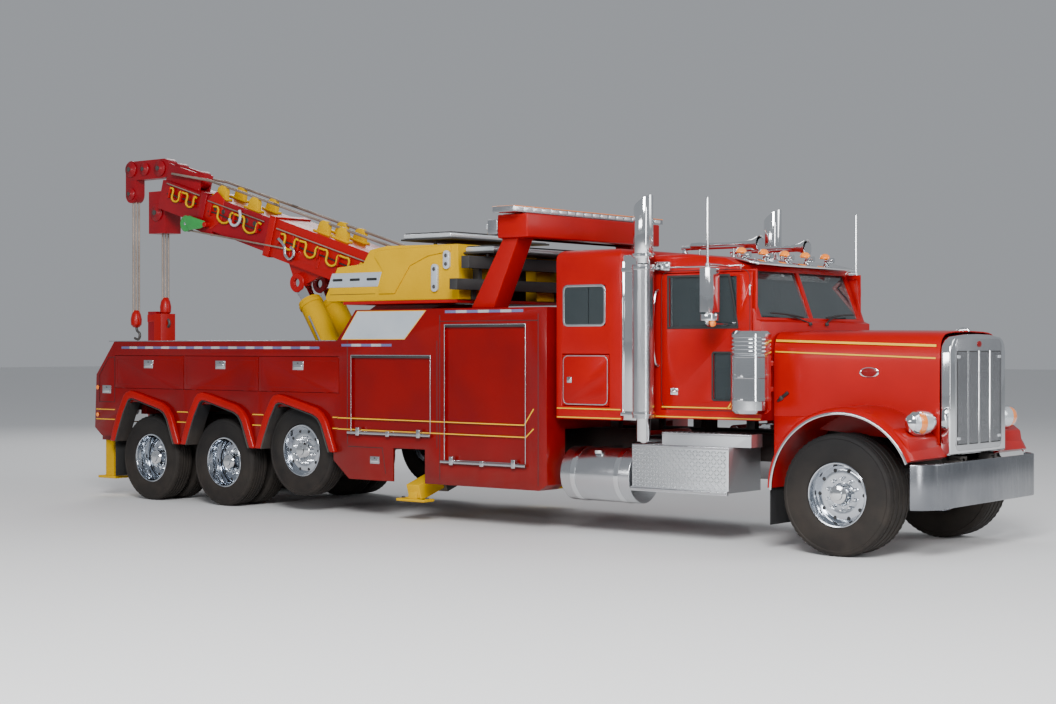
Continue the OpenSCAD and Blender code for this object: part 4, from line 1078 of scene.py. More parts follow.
@dataclass
class Cab:
    """The cab with its doors, glass, mirrors and roof trim."""

    half: float = 1.05
    back: float = -2.08
    cowl: float = -0.87

    def shell(self) -> None:
        """Builds the shell with its gutter, gold line, corner lamps and grab rails."""
        work = Work("cab_body")
        work.cad("cab_shell", RED, 0.01, 3, 2.7, 0.05)
        for sign in (1, -1):
            y = sorted((1.046 * sign, 1.06 * sign))
            work.section([(self.back + 0.03, 2.625), (self.cowl - 0.22, 2.625),
                (self.cowl - 0.2, 2.636), (self.back + 0.03, 2.64)], Axis.Y, *y, 0.003, 2, CHROME)
            work.slab((self.back + 0.02, 1.047 * sign, 1.19),
                (self.cowl - 0.01, 1.0525 * sign, 1.202), 0.001, 1, STRIPE)
            lamp = sorted((1.047 * sign, 1.11 * sign))
            work.slab((-2.04, lamp[0], 2.595), (-1.86, lamp[1], 2.69), 0.022, 4, CHROME)
            work.pipe([(-2.03, 1.05 * sign, 2.42), (-2.03, 1.1 * sign, 2.38),
                (-2.03, 1.1 * sign, 1.72), (-2.03, 1.05 * sign, 1.68)], 0.014, 3, STAINLESS)
        work.mount("truck", RED, "cab_shell")

    def glass(self) -> None:
        """Builds the panes and the wipers."""
        work = Work("cab_panes")
        work.cad("cab_glass", GLASS)
        work.mount("truck", GLASS, "cab_glass")
        wipers = Work("wipers")
        for sign in (1, -1):
            wipers.pipe([(self.cowl + 0.005, 0.16 * sign, 2.095),
                (self.cowl - 0.03, 0.3 * sign, 2.135), (self.cowl - 0.046, 0.5 * sign, 2.175)],
                0.007, 2)
            wipers.pipe([(self.cowl - 0.034, 0.22 * sign, 2.15),
                (self.cowl - 0.044, 0.5 * sign, 2.178), (self.cowl - 0.052, 0.8 * sign, 2.19)],
                0.009, 2)
            wipers.turned(mm(0, 0, 22, 0, 24, 12, 16, 30, 0, 32),
                (self.cowl + 0.005, 0.16 * sign, 2.075), Axis.Z, 18)
        wipers.mount("truck", RUBBER)

    def door(self, name: str, sign: int) -> None:
        """Builds one door with its seals, handle, hinges and gold lines, its pane and its mirror.

        Args:
            name: the frame node.
            sign: the side.
        """
        work = Work(name + "_skin")
        work.cad(name, RED, 0.005, 2)
        y = self.half * sign
        window = mm(-1925, 2040, -1120, 2040, -1120, 2075, -1215, 2555, -1925, 2555)
        frame_strip(work, window, y - 0.001 * sign, 0.022, 0.006 * sign, RUBBER)
        frame_strip(work, round_corners((-1.418, 1.355), (-1.188, 1.825), 0.03), y - 0.001 * sign,
            0.018, 0.006 * sign, RUBBER)
        work.slab((-1.885, y - 0.002 * sign, 1.405), (-1.795, y + 0.012 * sign, 1.475), 0.008, 3,
            CHROME)
        work.pipe([(-1.875, y + 0.008 * sign, 1.44), (-1.86, y + 0.032 * sign, 1.44),
            (-1.82, y + 0.032 * sign, 1.44), (-1.805, y + 0.008 * sign, 1.44)], 0.009, 3, CHROME)
        for z in (1.36, 1.98, 2.4):
            work.slab((-1.003, y, z - 0.05), (-0.985, y + 0.01 * sign, z + 0.05), finish=STAINLESS)
        frame_strip(work, round_corners((-1.992, 1.262), (-0.992, 2.6), 0.09), y - 0.001 * sign,
            0.007, 0.003 * sign, RUBBER)
        for x in (-1.25, -1.105):
            band = mm(0, 1284, 14, 1284, 80, 1372, 64, 1372, at=(x, 0))
            work.section(band, Axis.Y, *sorted((y, y + 0.0025 * sign)), 0.001, 1, STRIPE)
        low = sorted((y, y + 0.0025 * sign))
        work.slab((-1.99, low[0], 1.284), (-0.985, low[1], 1.296), 0.001, 1, STRIPE)
        side = name.rsplit("_", 1)[1]
        work.mount(f"cab_door_{side}", RED, name)
        pane = Work(f"door_pane_{side}")
        pane.cad(f"door_glass_{side}", GLASS)
        pane.mount(f"cab_door_{side}", GLASS, f"door_glass_{side}")
        mirror = Work(f"mirror_{side}_housing")
        mirror.cad(f"mirror_{side}", CHROME, 0.012, 3)
        mirror.turned(mm(0, -20, 60, -20, 86, 0, 88, 12, 70, 30, 0, 45),
            (-1.245, 1.35 * sign, 2.14), Axis.X, 32, CHROME)
        mirror.slab((-1.296, 1.285 * sign, 2.215), (-1.29, 1.435 * sign, 2.585), 0.0025, 1, GLASS)
        mirror.turned(mm(0, -12, 30, -12, 34, 0, 26, 18, 0, 24), (-1.19, 1.385 * sign, 2.085),
            Axis.X, 20, AMBER)
        mirror.mount(f"cab_door_{side}", CHROME, f"mirror_{side}")

    def roof_trim(self) -> None:
        """Builds the roof lamps, the horns and the visor."""
        work = Work("roof_fittings")
        work.cad("roof_trim", CHROME, 0.006, 3)
        lamp = work.turned(mm(0, 0, 40, 0, 52, 4, 54, 12, 46, 36, 26, 52, 0, 57), (0, 0, 0),
            Axis.Z, 24, AMBER)
        work.stamp(lamp, [shift(-1.245, y, 2.762) for y in (-0.8, -0.4, 0.0, 0.4, 0.8)])
        for y in (-0.45, 0.45):
            work.turned(mm(0, 0, 30, 0, 34, 100, 26, 160, 22, 500, 30, 620, 52, 720, 80, 780,
                82, 790, 74, 788, 45, 740, 0, 660), (-2.04, y, 2.87), Axis.X, 28, CHROME)
            for x in (-1.95, -1.55):
                work.rod((x, y, 2.76), (x, y, 2.845), 0.012, 14, CHROME)
        work.mount("truck", CHROME, "roof_trim")

    def inside(self) -> None:
        """Builds the seats, the dash and the wheel."""
        work = Work("cab_furniture")
        work.cad("cab_interior", SEAT_CLOTH, 0.018, 3)
        work.turned(mm(205, -13, 232, -13, 236, 0, 232, 13, 205, 13, 201, 0), (0, 0, 0), Axis.Z,
            40, PLASTIC, shift(-1.36, 0.5, 1.98) @ spun(-25, "Y"))
        work.mount("truck", SEAT_CLOTH, "cab_interior")

    def build(self) -> None:
        """Builds every piece of the cab."""
        self.shell()
        self.glass()
        for name, sign in both("cab_door"):
            self.door(name, sign)
        self.roof_trim()
        self.inside()


@dataclass
class Sleeper:
    """The sleeper compartment behind the cab."""

    back: float = -3.165
    front: float = -2.36
    half: float = 1.2

    def build(self) -> None:
        """Builds the shell with its mouldings and bright edges, and the luggage doors."""
        work = Work("sleeper_body")
        work.cad("sleeper_shell", RED, 0.016, 3, 2.6, 0.085)
        for sign in (1, -1):
            y = self.half * sign
            window = round_corners((self.back + 0.085, 2.07), (self.front - 0.19, 2.485), 0.06)
            frame_strip(work, window, y - 0.001 * sign, 0.024, 0.008 * sign, STAINLESS)
            pane = sorted((y - 0.006 * sign, y + 0.001 * sign))
            work.section(round_corners((self.back + 0.105, 2.09), (self.front - 0.21, 2.465),
                0.045), Axis.Y, *pane, 0.001, 1, GLASS)
            work.slab((self.back + 0.4, pane[0], 2.1), (self.back + 0.408, pane[1] + 0.001, 2.455),
                0.001, 1, RUBBER)
            plate = sorted((1.165 * sign, 1.195 * sign))
            work.slab((self.front + 0.002, plate[0] - 0.3 * (sign > 0), 1.2),
                (self.front + 0.014, plate[1] + 0.3 * (sign < 0), 2.7), finish=CHROME)
            for z in (1.25, 1.162):
                work.slab((self.back + 0.01, y, z), (self.front - 0.01, y + 0.0025 * sign,
                    z + 0.012), 0.001, 1, STRIPE)
            work.slab((self.front + 0.002, 1.168 * sign, 1.155),
                (self.front + 0.205, 1.184 * sign, 2.76), 0.005, 2, CHROME)
        work.mount("truck", RED, "sleeper_shell")
        for name, sign in both("sleeper_door"):
            door = Work(name + "_skin")
            door.cad(name, RED, 0.005, 2)
            ring = round_corners((-3.08, 1.295), (-2.525, 1.785), 0.06)
            frame_strip(door, ring, (self.half - 0.001) * sign, 0.01, 0.004 * sign, STAINLESS)
            latch(door, (-3.0, self.half * sign, 1.54), sign, (0.06, 0.06))
            door.mount(name, RED, name)


# Side fittings -----------------------------------------------------------
@dataclass
class SideFittings:
    """Air cleaners, exhaust stacks, fuel tanks and step boxes."""

    cleaner: Point = (-0.845, 1.275, 1.25)
    stack: Flat = (-2.1, 1.2)

    def cleaners(self) -> None:
        """Builds both air cleaners."""
        work = Work("air_cleaner_pair")
        x, y, z = self.cleaner
        profile = mm(0, 60, 85, 0, 150, 8, 182, 40, 184, 120, 187, 124, 187, 150, 184, 154,
            184, 330, 187, 334, 187, 362, 184, 366, 184, 520, 187.5, 524, 187.5, 540)
        for i in range(5):
            low = 0.546 + 0.036 * i
            profile += mm(172, 0, 172, 10, 186, 14, 186, 32, at=(0, low))
        profile += mm(186, 736, 160, 764, 80, 774, 0, 775)
        work.turned(profile, (x, y, z), Axis.Z, 56, CHROME)
        for low in (0.2, 0.44):
            work.slab((x - 0.04, y - 0.34, z + low), (x + 0.04, y - 0.16, z + low + 0.05), 0.01, 2,
                CHROME)
        work.slab((x - 0.03, y + 0.176, z + 0.126), (x + 0.03, y + 0.1875, z + 0.148))
        work.slab((x - 0.03, y + 0.176, z + 0.337), (x + 0.03, y + 0.1875, z + 0.36))
        work.mirrored()
        work.mount("truck", CHROME, "air_cleaners")

    def stacks(self) -> None:
        """Builds both exhaust stacks with their guards and clamps."""
        work = Work("exhaust_pair")
        work.cad("exhaust_stacks", CHROME, 0.003)
        x, y = self.stack
        guard = []
        for i in range(13):
            a = math.radians(-110 + 220 * i / 12)
            guard.append((x + 0.108 * math.sin(a), y + 0.108 * math.cos(a)))
        inner = [(x + (px - x) * 0.965, y + (py - y) * 0.965) for px, py in reversed(guard)]
        work.section(guard + inner, Axis.Z, 1.18, 2.66, 0.0, 1, STAINLESS)
        for z in (1.215, 2.61, 2.735):
            work.turned(mm(90, 0, 112, 0, 115, 6, 115, 24, 112, 30, 90, 30), (x, y, z), Axis.Z, 36,
                CHROME)
        work.mirrored(1)
        work.mount("truck", CHROME, "exhaust_stacks")

    def tanks(self) -> None:
        """Builds the fuel tanks with straps and caps."""
        work = Work("fuel_tank_pair")
        work.cad("fuel_tanks", STAINLESS, 0.008, 3)
        for x in (-2.95, -2.42):
            work.turned(mm(269.5, -30, 274.5, -28, 275.5, 0, 274.5, 28, 269.5, 30),
                (x, -0.945, 0.6), Axis.X, 56, CHROME)
        work.turned(mm(0, 0, 48, 0, 50, 6, 50, 30, 44, 36, 0, 36), (-2.7, -1.105, 0.815), Axis.Z,
            28, CHROME)
        work.mirrored(1)
        work.mount("truck", STAINLESS, "fuel_tanks")

    def steps(self) -> None:
        """Builds the step boxes with bright edges and treads."""
        work = Work("step_box_pair")
        work.cad("step_boxes", PLATE, 0.008, 3)
        edge = work.slab((-2.235, 1.188, 0.905), (-1.145, 1.197, 0.931), finish=STAINLESS)
        work.copies(edge, [shift(0, 0.028, -0.415)])
        work.slab((-1.945, 1.098, 1.03), (-0.955, 1.107, 1.051), finish=STAINLESS)
        bar = work.slab((-0.0165, -0.003, -0.0052), (0.0165, 0.0035, 0.0052), 0.002, 1, CHROME)
        weave = []
        for i in range(31):
            for j in range(11):
                turn = math.radians(45 if (i + j) % 2 else -45)
                weave.append(shift(-2.215 + 0.0345 * i, 1.1975,
                    0.535 + 0.0345 * j) @ Matrix.Rotation(turn, 4, "Y"))
        work.stamp(bar, weave)
        hole = work.turned(mm(0, 0, 15, 0, 17, 3, 12, 5, 0, 4), (0, 0, 0), Axis.Z, 14, RUBBER)
        work.stamp(hole, [shift(-1.9 + 0.06 * i, 0.955 + 0.05 * j, 1.049) for i in range(16)
            for j in range(3)])
        work.mirrored(1)
        work.mount("truck", PLATE, "step_boxes")

    def build(self) -> None:
        """Builds all of them."""
        self.cleaners()
        self.stacks()
        self.tanks()
        self.steps()


# Wrecker body ------------------------------------------------------------
@dataclass
class WreckerBody:
    """The body with its lockers, doors, shutters, flares and stripes."""

    face: float = 1.27
    tail: float = -10.43
    top: float = 1.93
    arches: tuple[float, ...] = (-9.426, -8.106, -6.806)
    doors: Flat = (-10.045, -6.14)
    tape: Flat = (0.15, 0.142)
    slat: float = 0.03
    shutters: tuple[tuple[Flat, Flat], ...] = (((-5.965, -4.79), (0.915, 1.78)),
        ((-4.6, -3.5), (0.65, 2.105)))

    def line(self, work: Work, path: Sequence[Flat], tall: float, finish: Finish = STRIPE,
            stand: float = 0.0025) -> None:
        """Adds a thin painted line through places on the right-hand face.

        Args:
            work: the piece on the bench.
            path: its corners as (x, z).
            tall: half its height.
            finish: its finish.
            stand: how far it stands off the face.
        """
        for (x0, z0), (x1, z1) in zip(path, path[1:]):
            long = math.hypot(x1 - x0, z1 - z0)
            turn = shift(x0, -self.face, z0) @ Matrix.Rotation(-math.atan2(z1 - z0, x1 - x0), 4,
                "Y")
            work.slab((-tall * 0.4, -stand, -tall), (long + tall * 0.4, 0.001, tall), 0.0008, 1,
                finish, turn)

    def seam(self, work: Work, path: Sequence[Flat]) -> None:
        """Adds a dark panel joint through places on the right-hand face."""
        self.line(work, path, 0.004, RUBBER, 0.0012)

    def flare(self, work: Work, x: float) -> None:
        """Adds the pressed flare round one wheel arch."""
        outer = mm(-655, 700, -600, 860, -500, 1090, -395, 1270, -345, 1315, -270, 1330,
            -190, 1318, 330, 1190, 430, 1130, 500, 1040, 640, 700, at=(x, 0))
        inner = mm(550, 700, 425, 1000, 370, 1070, 290, 1110, -200, 1228, -265, 1234, -310, 1215,
            -410, 1050, -510, 830, -560, 700, at=(x, 0))
        work.section(outer + inner, Axis.Y, -self.face - 0.05, -self.face + 0.02, 0.02, 4, RED)
        cover = mm(-610, 720, -400, 1200, -260, 1240, 300, 1215, 500, 1100, 610, 720, at=(x, 0))
        work.section(cover + inner, Axis.Y, -self.face + 0.002, -self.face + 0.01, 0.0, 1, CRIMSON)
        work.section(inner + [(x + (a - x) * 0.96, b - 0.01 * (b > 0.7))
            for a, b in reversed(inner)], Axis.Y, -self.face - 0.046, -self.face + 0.16, 0.0, 1,
            BLACK)

    def arches_and_lines(self, work: Work) -> None:
        """Adds the flares, the gold lines, the tape and the joints."""
        for x in self.arches:
            self.flare(work, x)
        front = -3.5
        back = -6.17
        self.line(work, [(back, 1.085), (-3.52, 1.075), (-3.4, 1.24)], 0.006)
        self.line(work, [(back, 0.962), (front, 0.952), (-3.4, 1.04)], 0.006)
        for x0, x1 in ((-10.4, -10.04), (-8.86, -8.67), (-7.54, -7.36), (-6.24, -6.16)):
            for z in (1.088, 0.966):
                self.line(work, [(x0, z), (x1, z)], 0.006)
        for x0, x1, z in ((-9.9, -6.34, 1.856), (-6.1, -5.25, 1.885), (-4.58, -3.42, 2.235)):
            pitch, long = self.tape
            for i in range(int((x1 - x0) / pitch)):
                x = x0 + pitch * i
                self.line(work, [(x, z), (x + long, z)], 0.014, TAPE if i % 2 else TAPE_BLUE,
                    0.003)
        for x in (-6.016, -4.7):
            self.seam(work, [(x, 0.8), (x, 1.93)])
        self.seam(work, [(-4.66, 0.47), (-4.66, 2.2)])
        self.seam(work, [(-3.34, 0.47), (-3.34, 2.2)])
        self.seam(work, mm(-6005, 775, -5490, 775, -5440, 500))
        self.seam(work, [(-4.66, 2.135), (-3.34, 2.135)])

    def side(self) -> None:
        """Builds what the side faces carry."""
        work = Work("side_trim")
        self.arches_and_lines(work)
        panel = mm(-5862, 2258, -4851, 2254, -5161, 1945, -6110, 1945)
        work.section(panel, Axis.Y, -self.face - 0.004, -self.face + 0.001, 0.001, 1, PANEL)
        frame_strip(work, panel, -self.face - 0.001, 0.008, -0.004, STRIPE)
        rear = mm(-10346, 1180, -10035, 1180, -10035, 1745, -10160, 1735, -10346, 1516)
        frame_strip(work, rear, -self.face - 0.0005, 0.006, -0.003, RUBBER)
        latch(work, (-10.194, -self.face, 1.338), -1)
        latch(work, (-5.6, -self.face, 0.64), -1, (0.14, 0.08))
        for (x0, x1), z in (((-5.965, -4.79), 0.93), ((-4.6, -3.5), 0.664)):
            work.rod((x0 - 0.02, -self.face - 0.03, z), (x1 + 0.02, -self.face - 0.03, z), 0.016,
                16, STAINLESS)
            work.slab((x0, -self.face - 0.016, z - 0.022), (x1, -self.face + 0.001, z + 0.016),
                finish=BLACK)
            for share in (0.12, 0.5, 0.88):
                x = x0 + (x1 - x0) * share
                work.slab((x - 0.026, -self.face - 0.05, z - 0.03),
                    (x + 0.026, -self.face + 0.001, z + 0.03 + 0.03 * (share != 0.5)), 0.007, 3,
                    STAINLESS)
        for z in (1.36, 1.02):
            work.turned(mm(0, 0, 24, 0, 27, -4, 20, -12, 0, -14),
                (self.tail + 0.055, -self.face, z), Axis.Y, 18, AMBER)
        work.mirrored()
        work.mount("truck", CRIMSON)

    def roller(self, work: Work, span: Flat, rise: Flat) -> None:
        """Adds one slatted shutter with its rails and pull bar.

        Args:
            work: the piece on the bench.
            span: where it runs along the truck.
            rise: its foot and its head.
        """
        back = -self.face + 0.038
        rows = int((rise[1] - rise[0] - 0.06) / self.slat)
        slat = work.section(mm(0, 0, 10, 1, 10, 29, 0, 28.5, -5, 24, -7, 14, -5, 4, at=(back, 0)),
            Axis.X, span[0] + 0.012, span[1] - 0.012, 0.0, 1, CRIMSON)
        work.stamp(slat, [shift(0, 0, rise[0] + 0.05 + self.slat * i) for i in range(rows)])
        work.slab((span[0] + 0.012, back - 0.01, rise[0] + 0.008),
            (span[1] - 0.012, back + 0.01, rise[0] + 0.048), finish=BLACK)
        work.rod((span[0] + 0.1, back - 0.02, rise[0] + 0.028),
            (span[1] - 0.1, back - 0.02, rise[0] + 0.028), 0.009, 14, STAINLESS)
        frame_strip(work, [(span[0], rise[0]), (span[1], rise[0]), (span[1], rise[1]),
            (span[0], rise[1])], -self.face + 0.001, 0.009, -0.005, STAINLESS)
        work.slab((span[0] + 0.01, -self.face - 0.002, rise[1] - 0.034),
            (span[1] - 0.01, -self.face + 0.03, rise[1] - 0.01), finish=BLACK)

    def build(self) -> None:
        """Builds the shell, both sides and the tail."""
        work = Work("wrecker_shell")
        work.cad("wrecker_body", CRIMSON, 0.006, 2)
        work.mount("truck", CRIMSON, "wrecker_body")
        self.side()
        rollers = Work("slatted_shutters")
        rollers.cad("roller_shutters", CRIMSON)
        for span, rise in self.shutters:
            self.roller(rollers, span, rise)
        rollers.mirrored(1)
        rollers.mount("truck", CRIMSON, "roller_shutters")
        pitch = (self.doors[1] - self.doors[0]) / 3
        for number in (1, 2, 3):
            for side, sign in (("left", 1), ("right", -1)):
                name = f"drop_door_{number}_{side}"
                door = Work(name + "_skin")
                door.cad(name, CRIMSON, 0.006, 3)
                x = self.doors[1] - pitch * (number - 0.5)
                latch(door, (x, self.face * sign, 1.655), sign)
                frame_strip(door, round_corners((x - pitch / 2 + 0.05, 1.405),
                    (x + pitch / 2 - 0.05, 1.715), 0.02), (self.face - 0.0005) * sign, 0.006,
                    0.0018 * sign, CRIMSON)
                door.mount(name, CRIMSON, name)
        self.tail_end()

    def tail_end(self) -> None:
        """Builds the lamps and the deck trim of the tail."""
        work = Work("tail_trim")
        for y in (0.62, 0.78, 1.1):
            work.turned(mm(0, 0, 50, 0, 56, -6, 50, -16, 0, -22), (self.tail, y, 1.05), Axis.X, 28,
                RED_LENS if y > 0.7 else CLEAR)
        work.slab((self.tail - 0.006, 0.3, 0.9), (self.tail + 0.002, 1.24, 0.915), 0.002, 1,
            STRIPE)
        work.mirrored()
        work.mount("truck", RED_LENS)
        edge = Work("rail_capping")
        edge.slab((self.tail + 0.26, -1.262, self.top - 0.004), (-6.2, -1.13, self.top + 0.01),
            0.005, 2, STAINLESS)
        edge.mirrored()
        edge.mount("truck", STAINLESS)


@dataclass
class Pylon:
    """The light pylon with its bars and work lamps."""

    bar: tuple[Flat, Flat] = ((-3.89, -3.61), (3.24, 3.3))

    def build(self) -> None:
        """Builds the pylon and its lights."""
        work = Work("pylon_frame")
        work.cad("light_pylon", RED, 0.018, 3)
        for sign in (1, -1):
            for y in (1.045, 1.135):
                work.turned(mm(0, -30, 34, -30, 40, -6, 40, 0, 34, 4, 0, 1),
                    (-4.08, y * sign, 3.105), Axis.X, 24, CLEAR)
            work.slab((-4.086, 1.005 * sign, 3.036), (-4.075, 1.176 * sign, 3.05), finish=YELLOW)
        work.mount("truck", RED, "light_pylon")
        bar = Work("pylon_light_bar_case")
        bar.cad("pylon_light_bar", STAINLESS, 0.01, 3)
        (x0, x1), (z0, z1) = self.bar
        module = bar.slab((x0 - 0.004, -0.06, z0 + 0.012), (x1 + 0.004, 0.06, z1 - 0.01), 0.008, 2,
            CLEAR)
        bar.stamp(module, [shift(0, y, 0) for y in grid(-1.225, 1.225, 18)])
        bar.slab((x0 - 0.006, -1.325, z1 - 0.006), (x1 + 0.006, 1.325, z1 + 0.003), 0.003, 1,
            AMBER)
        bar.mount("truck", STAINLESS, "pylon_light_bar")


# Crane -------------------------------------------------------------------
@dataclass
class Turret:
    """The slewing turret with its yellow winch housing."""

    half: float = 0.95
    bolts: int = 24

    def build(self) -> None:
        """Builds the frame with its ring of bolts, the housing and the winch ropes."""
        work = Work("turret_structure")
        work.cad("turret_frame", BOOM_RED, 0.008, 3)
        bolt = work.turned(mm(0, 0, 20, 0, 22, 3, 22, 12, 18, 18, 0, 18), (0, 0, 0), Axis.Z, 6,
            IRON)
        work.stamp(bolt, [shift(-6.75 + 0.665 * math.cos(a), 0.665 * math.sin(a), 1.342)
            for a in (math.tau * i / self.bolts for i in range(self.bolts))])
        for sign in (1, -1):
            work.turned(mm(0, 0, 85, 0, 85, 12, 70, 20, 30, 22, 0, 22, by=(1, sign)),
                (-5.45, 0.39 * sign, 2.5), Axis.Y, 32, CHROME)
        work.mount("turret", BOOM_RED, "turret_frame")
        self.housing()
        winches = Work("winch_set")
        winches.cad("turret_winches", BLACK, 0.004)
        for i in range(9):
            winches.turned(mm(125, -18, 140, -14, 146, 0, 140, 14, 125, 18),
                (-4.93, -0.3 + 0.036 * i, 2.64), Axis.Y, 36, ROPE)
        winches.mount("turret", BLACK, "turret_winches")

    def housing(self) -> None:
        """Builds the skin of the housing with its panels, lamps and rails."""
        work = Work("winch_housing")
        work.cad("turret_housing", YELLOW, 0.022, 4)
        y = self.half
        for sign in (1, -1):
            panel = mm(-6640, 2535, -5860, 2535, -5800, 2695, -6565, 2695)
            work.section(panel, Axis.Y, (y - 0.001) * sign, (y + 0.004) * sign, 0.002, 1, PANEL)
            for x in (-6.48, -6.21, -5.95):
                work.section(round_corners((x - 0.08, 2.603), (x + 0.08, 2.633), 0.014), Axis.Y,
                    y * sign, (y + 0.006) * sign, 0.002, 1, RUBBER)
            fairing = mm(-5840, 2450, -5600, 2450, -5370, 2750, -5100, 2850, -4780, 2890,
                -4780, 2955, -5860, 2935, -5900, 2860, -5770, 2700)
            work.section(fairing, Axis.Y, (y - 0.002) * sign, (y + 0.018) * sign, 0.012, 4, YELLOW)
            for x0, z0, z1 in ((-5.0, 2.46, 2.76), (-4.83, 2.7, 2.9)):
                work.section(round_corners((x0 - 0.045, z0), (x0 + 0.045, z1), 0.04), Axis.Y,
                    y * sign, (y + 0.032) * sign, 0.005, 2, PANEL)
                for z in (z0 + 0.055, z1 - 0.055):
                    work.turned(mm(0, 0, 20, 0, 22, 4, 16, 10, 0, 10, by=(1, sign)),
                        (x0, (y + 0.032) * sign, z), Axis.Y, 18, IRON)
            work.slab((-6.6, (y - 0.001) * sign, 2.452), (-5.9, (y + 0.003) * sign, 2.458), 0.001,
                1, BLACK)
        work.mount("turret", YELLOW, "turret_housing")
        bars = Work("housing_light_bars")
        for x0, x1, z in ((-5.6, -4.86, 3.03), (-4.7, -4.26, 2.86)):
            bars.slab((x0, -0.86, z), (x1, 0.86, z + 0.022), 0.008, 2, BLACK)
            bars.slab((x0 + 0.02, -0.84, z + 0.022), (x1 - 0.02, 0.84, z + 0.072), 0.016, 3, CLEAR)
            bars.slab((x0 + 0.03, -0.82, z + 0.07), (x1 - 0.03, 0.82, z + 0.086), 0.006, 2, BLACK)
            for y in (-0.7, 0.7):
                bars.rod(((x0 + x1) / 2, y, z - 0.07), ((x0 + x1) / 2, y, z + 0.01), 0.02, 14,
                    IRON)
        bars.mount("turret", BLACK)


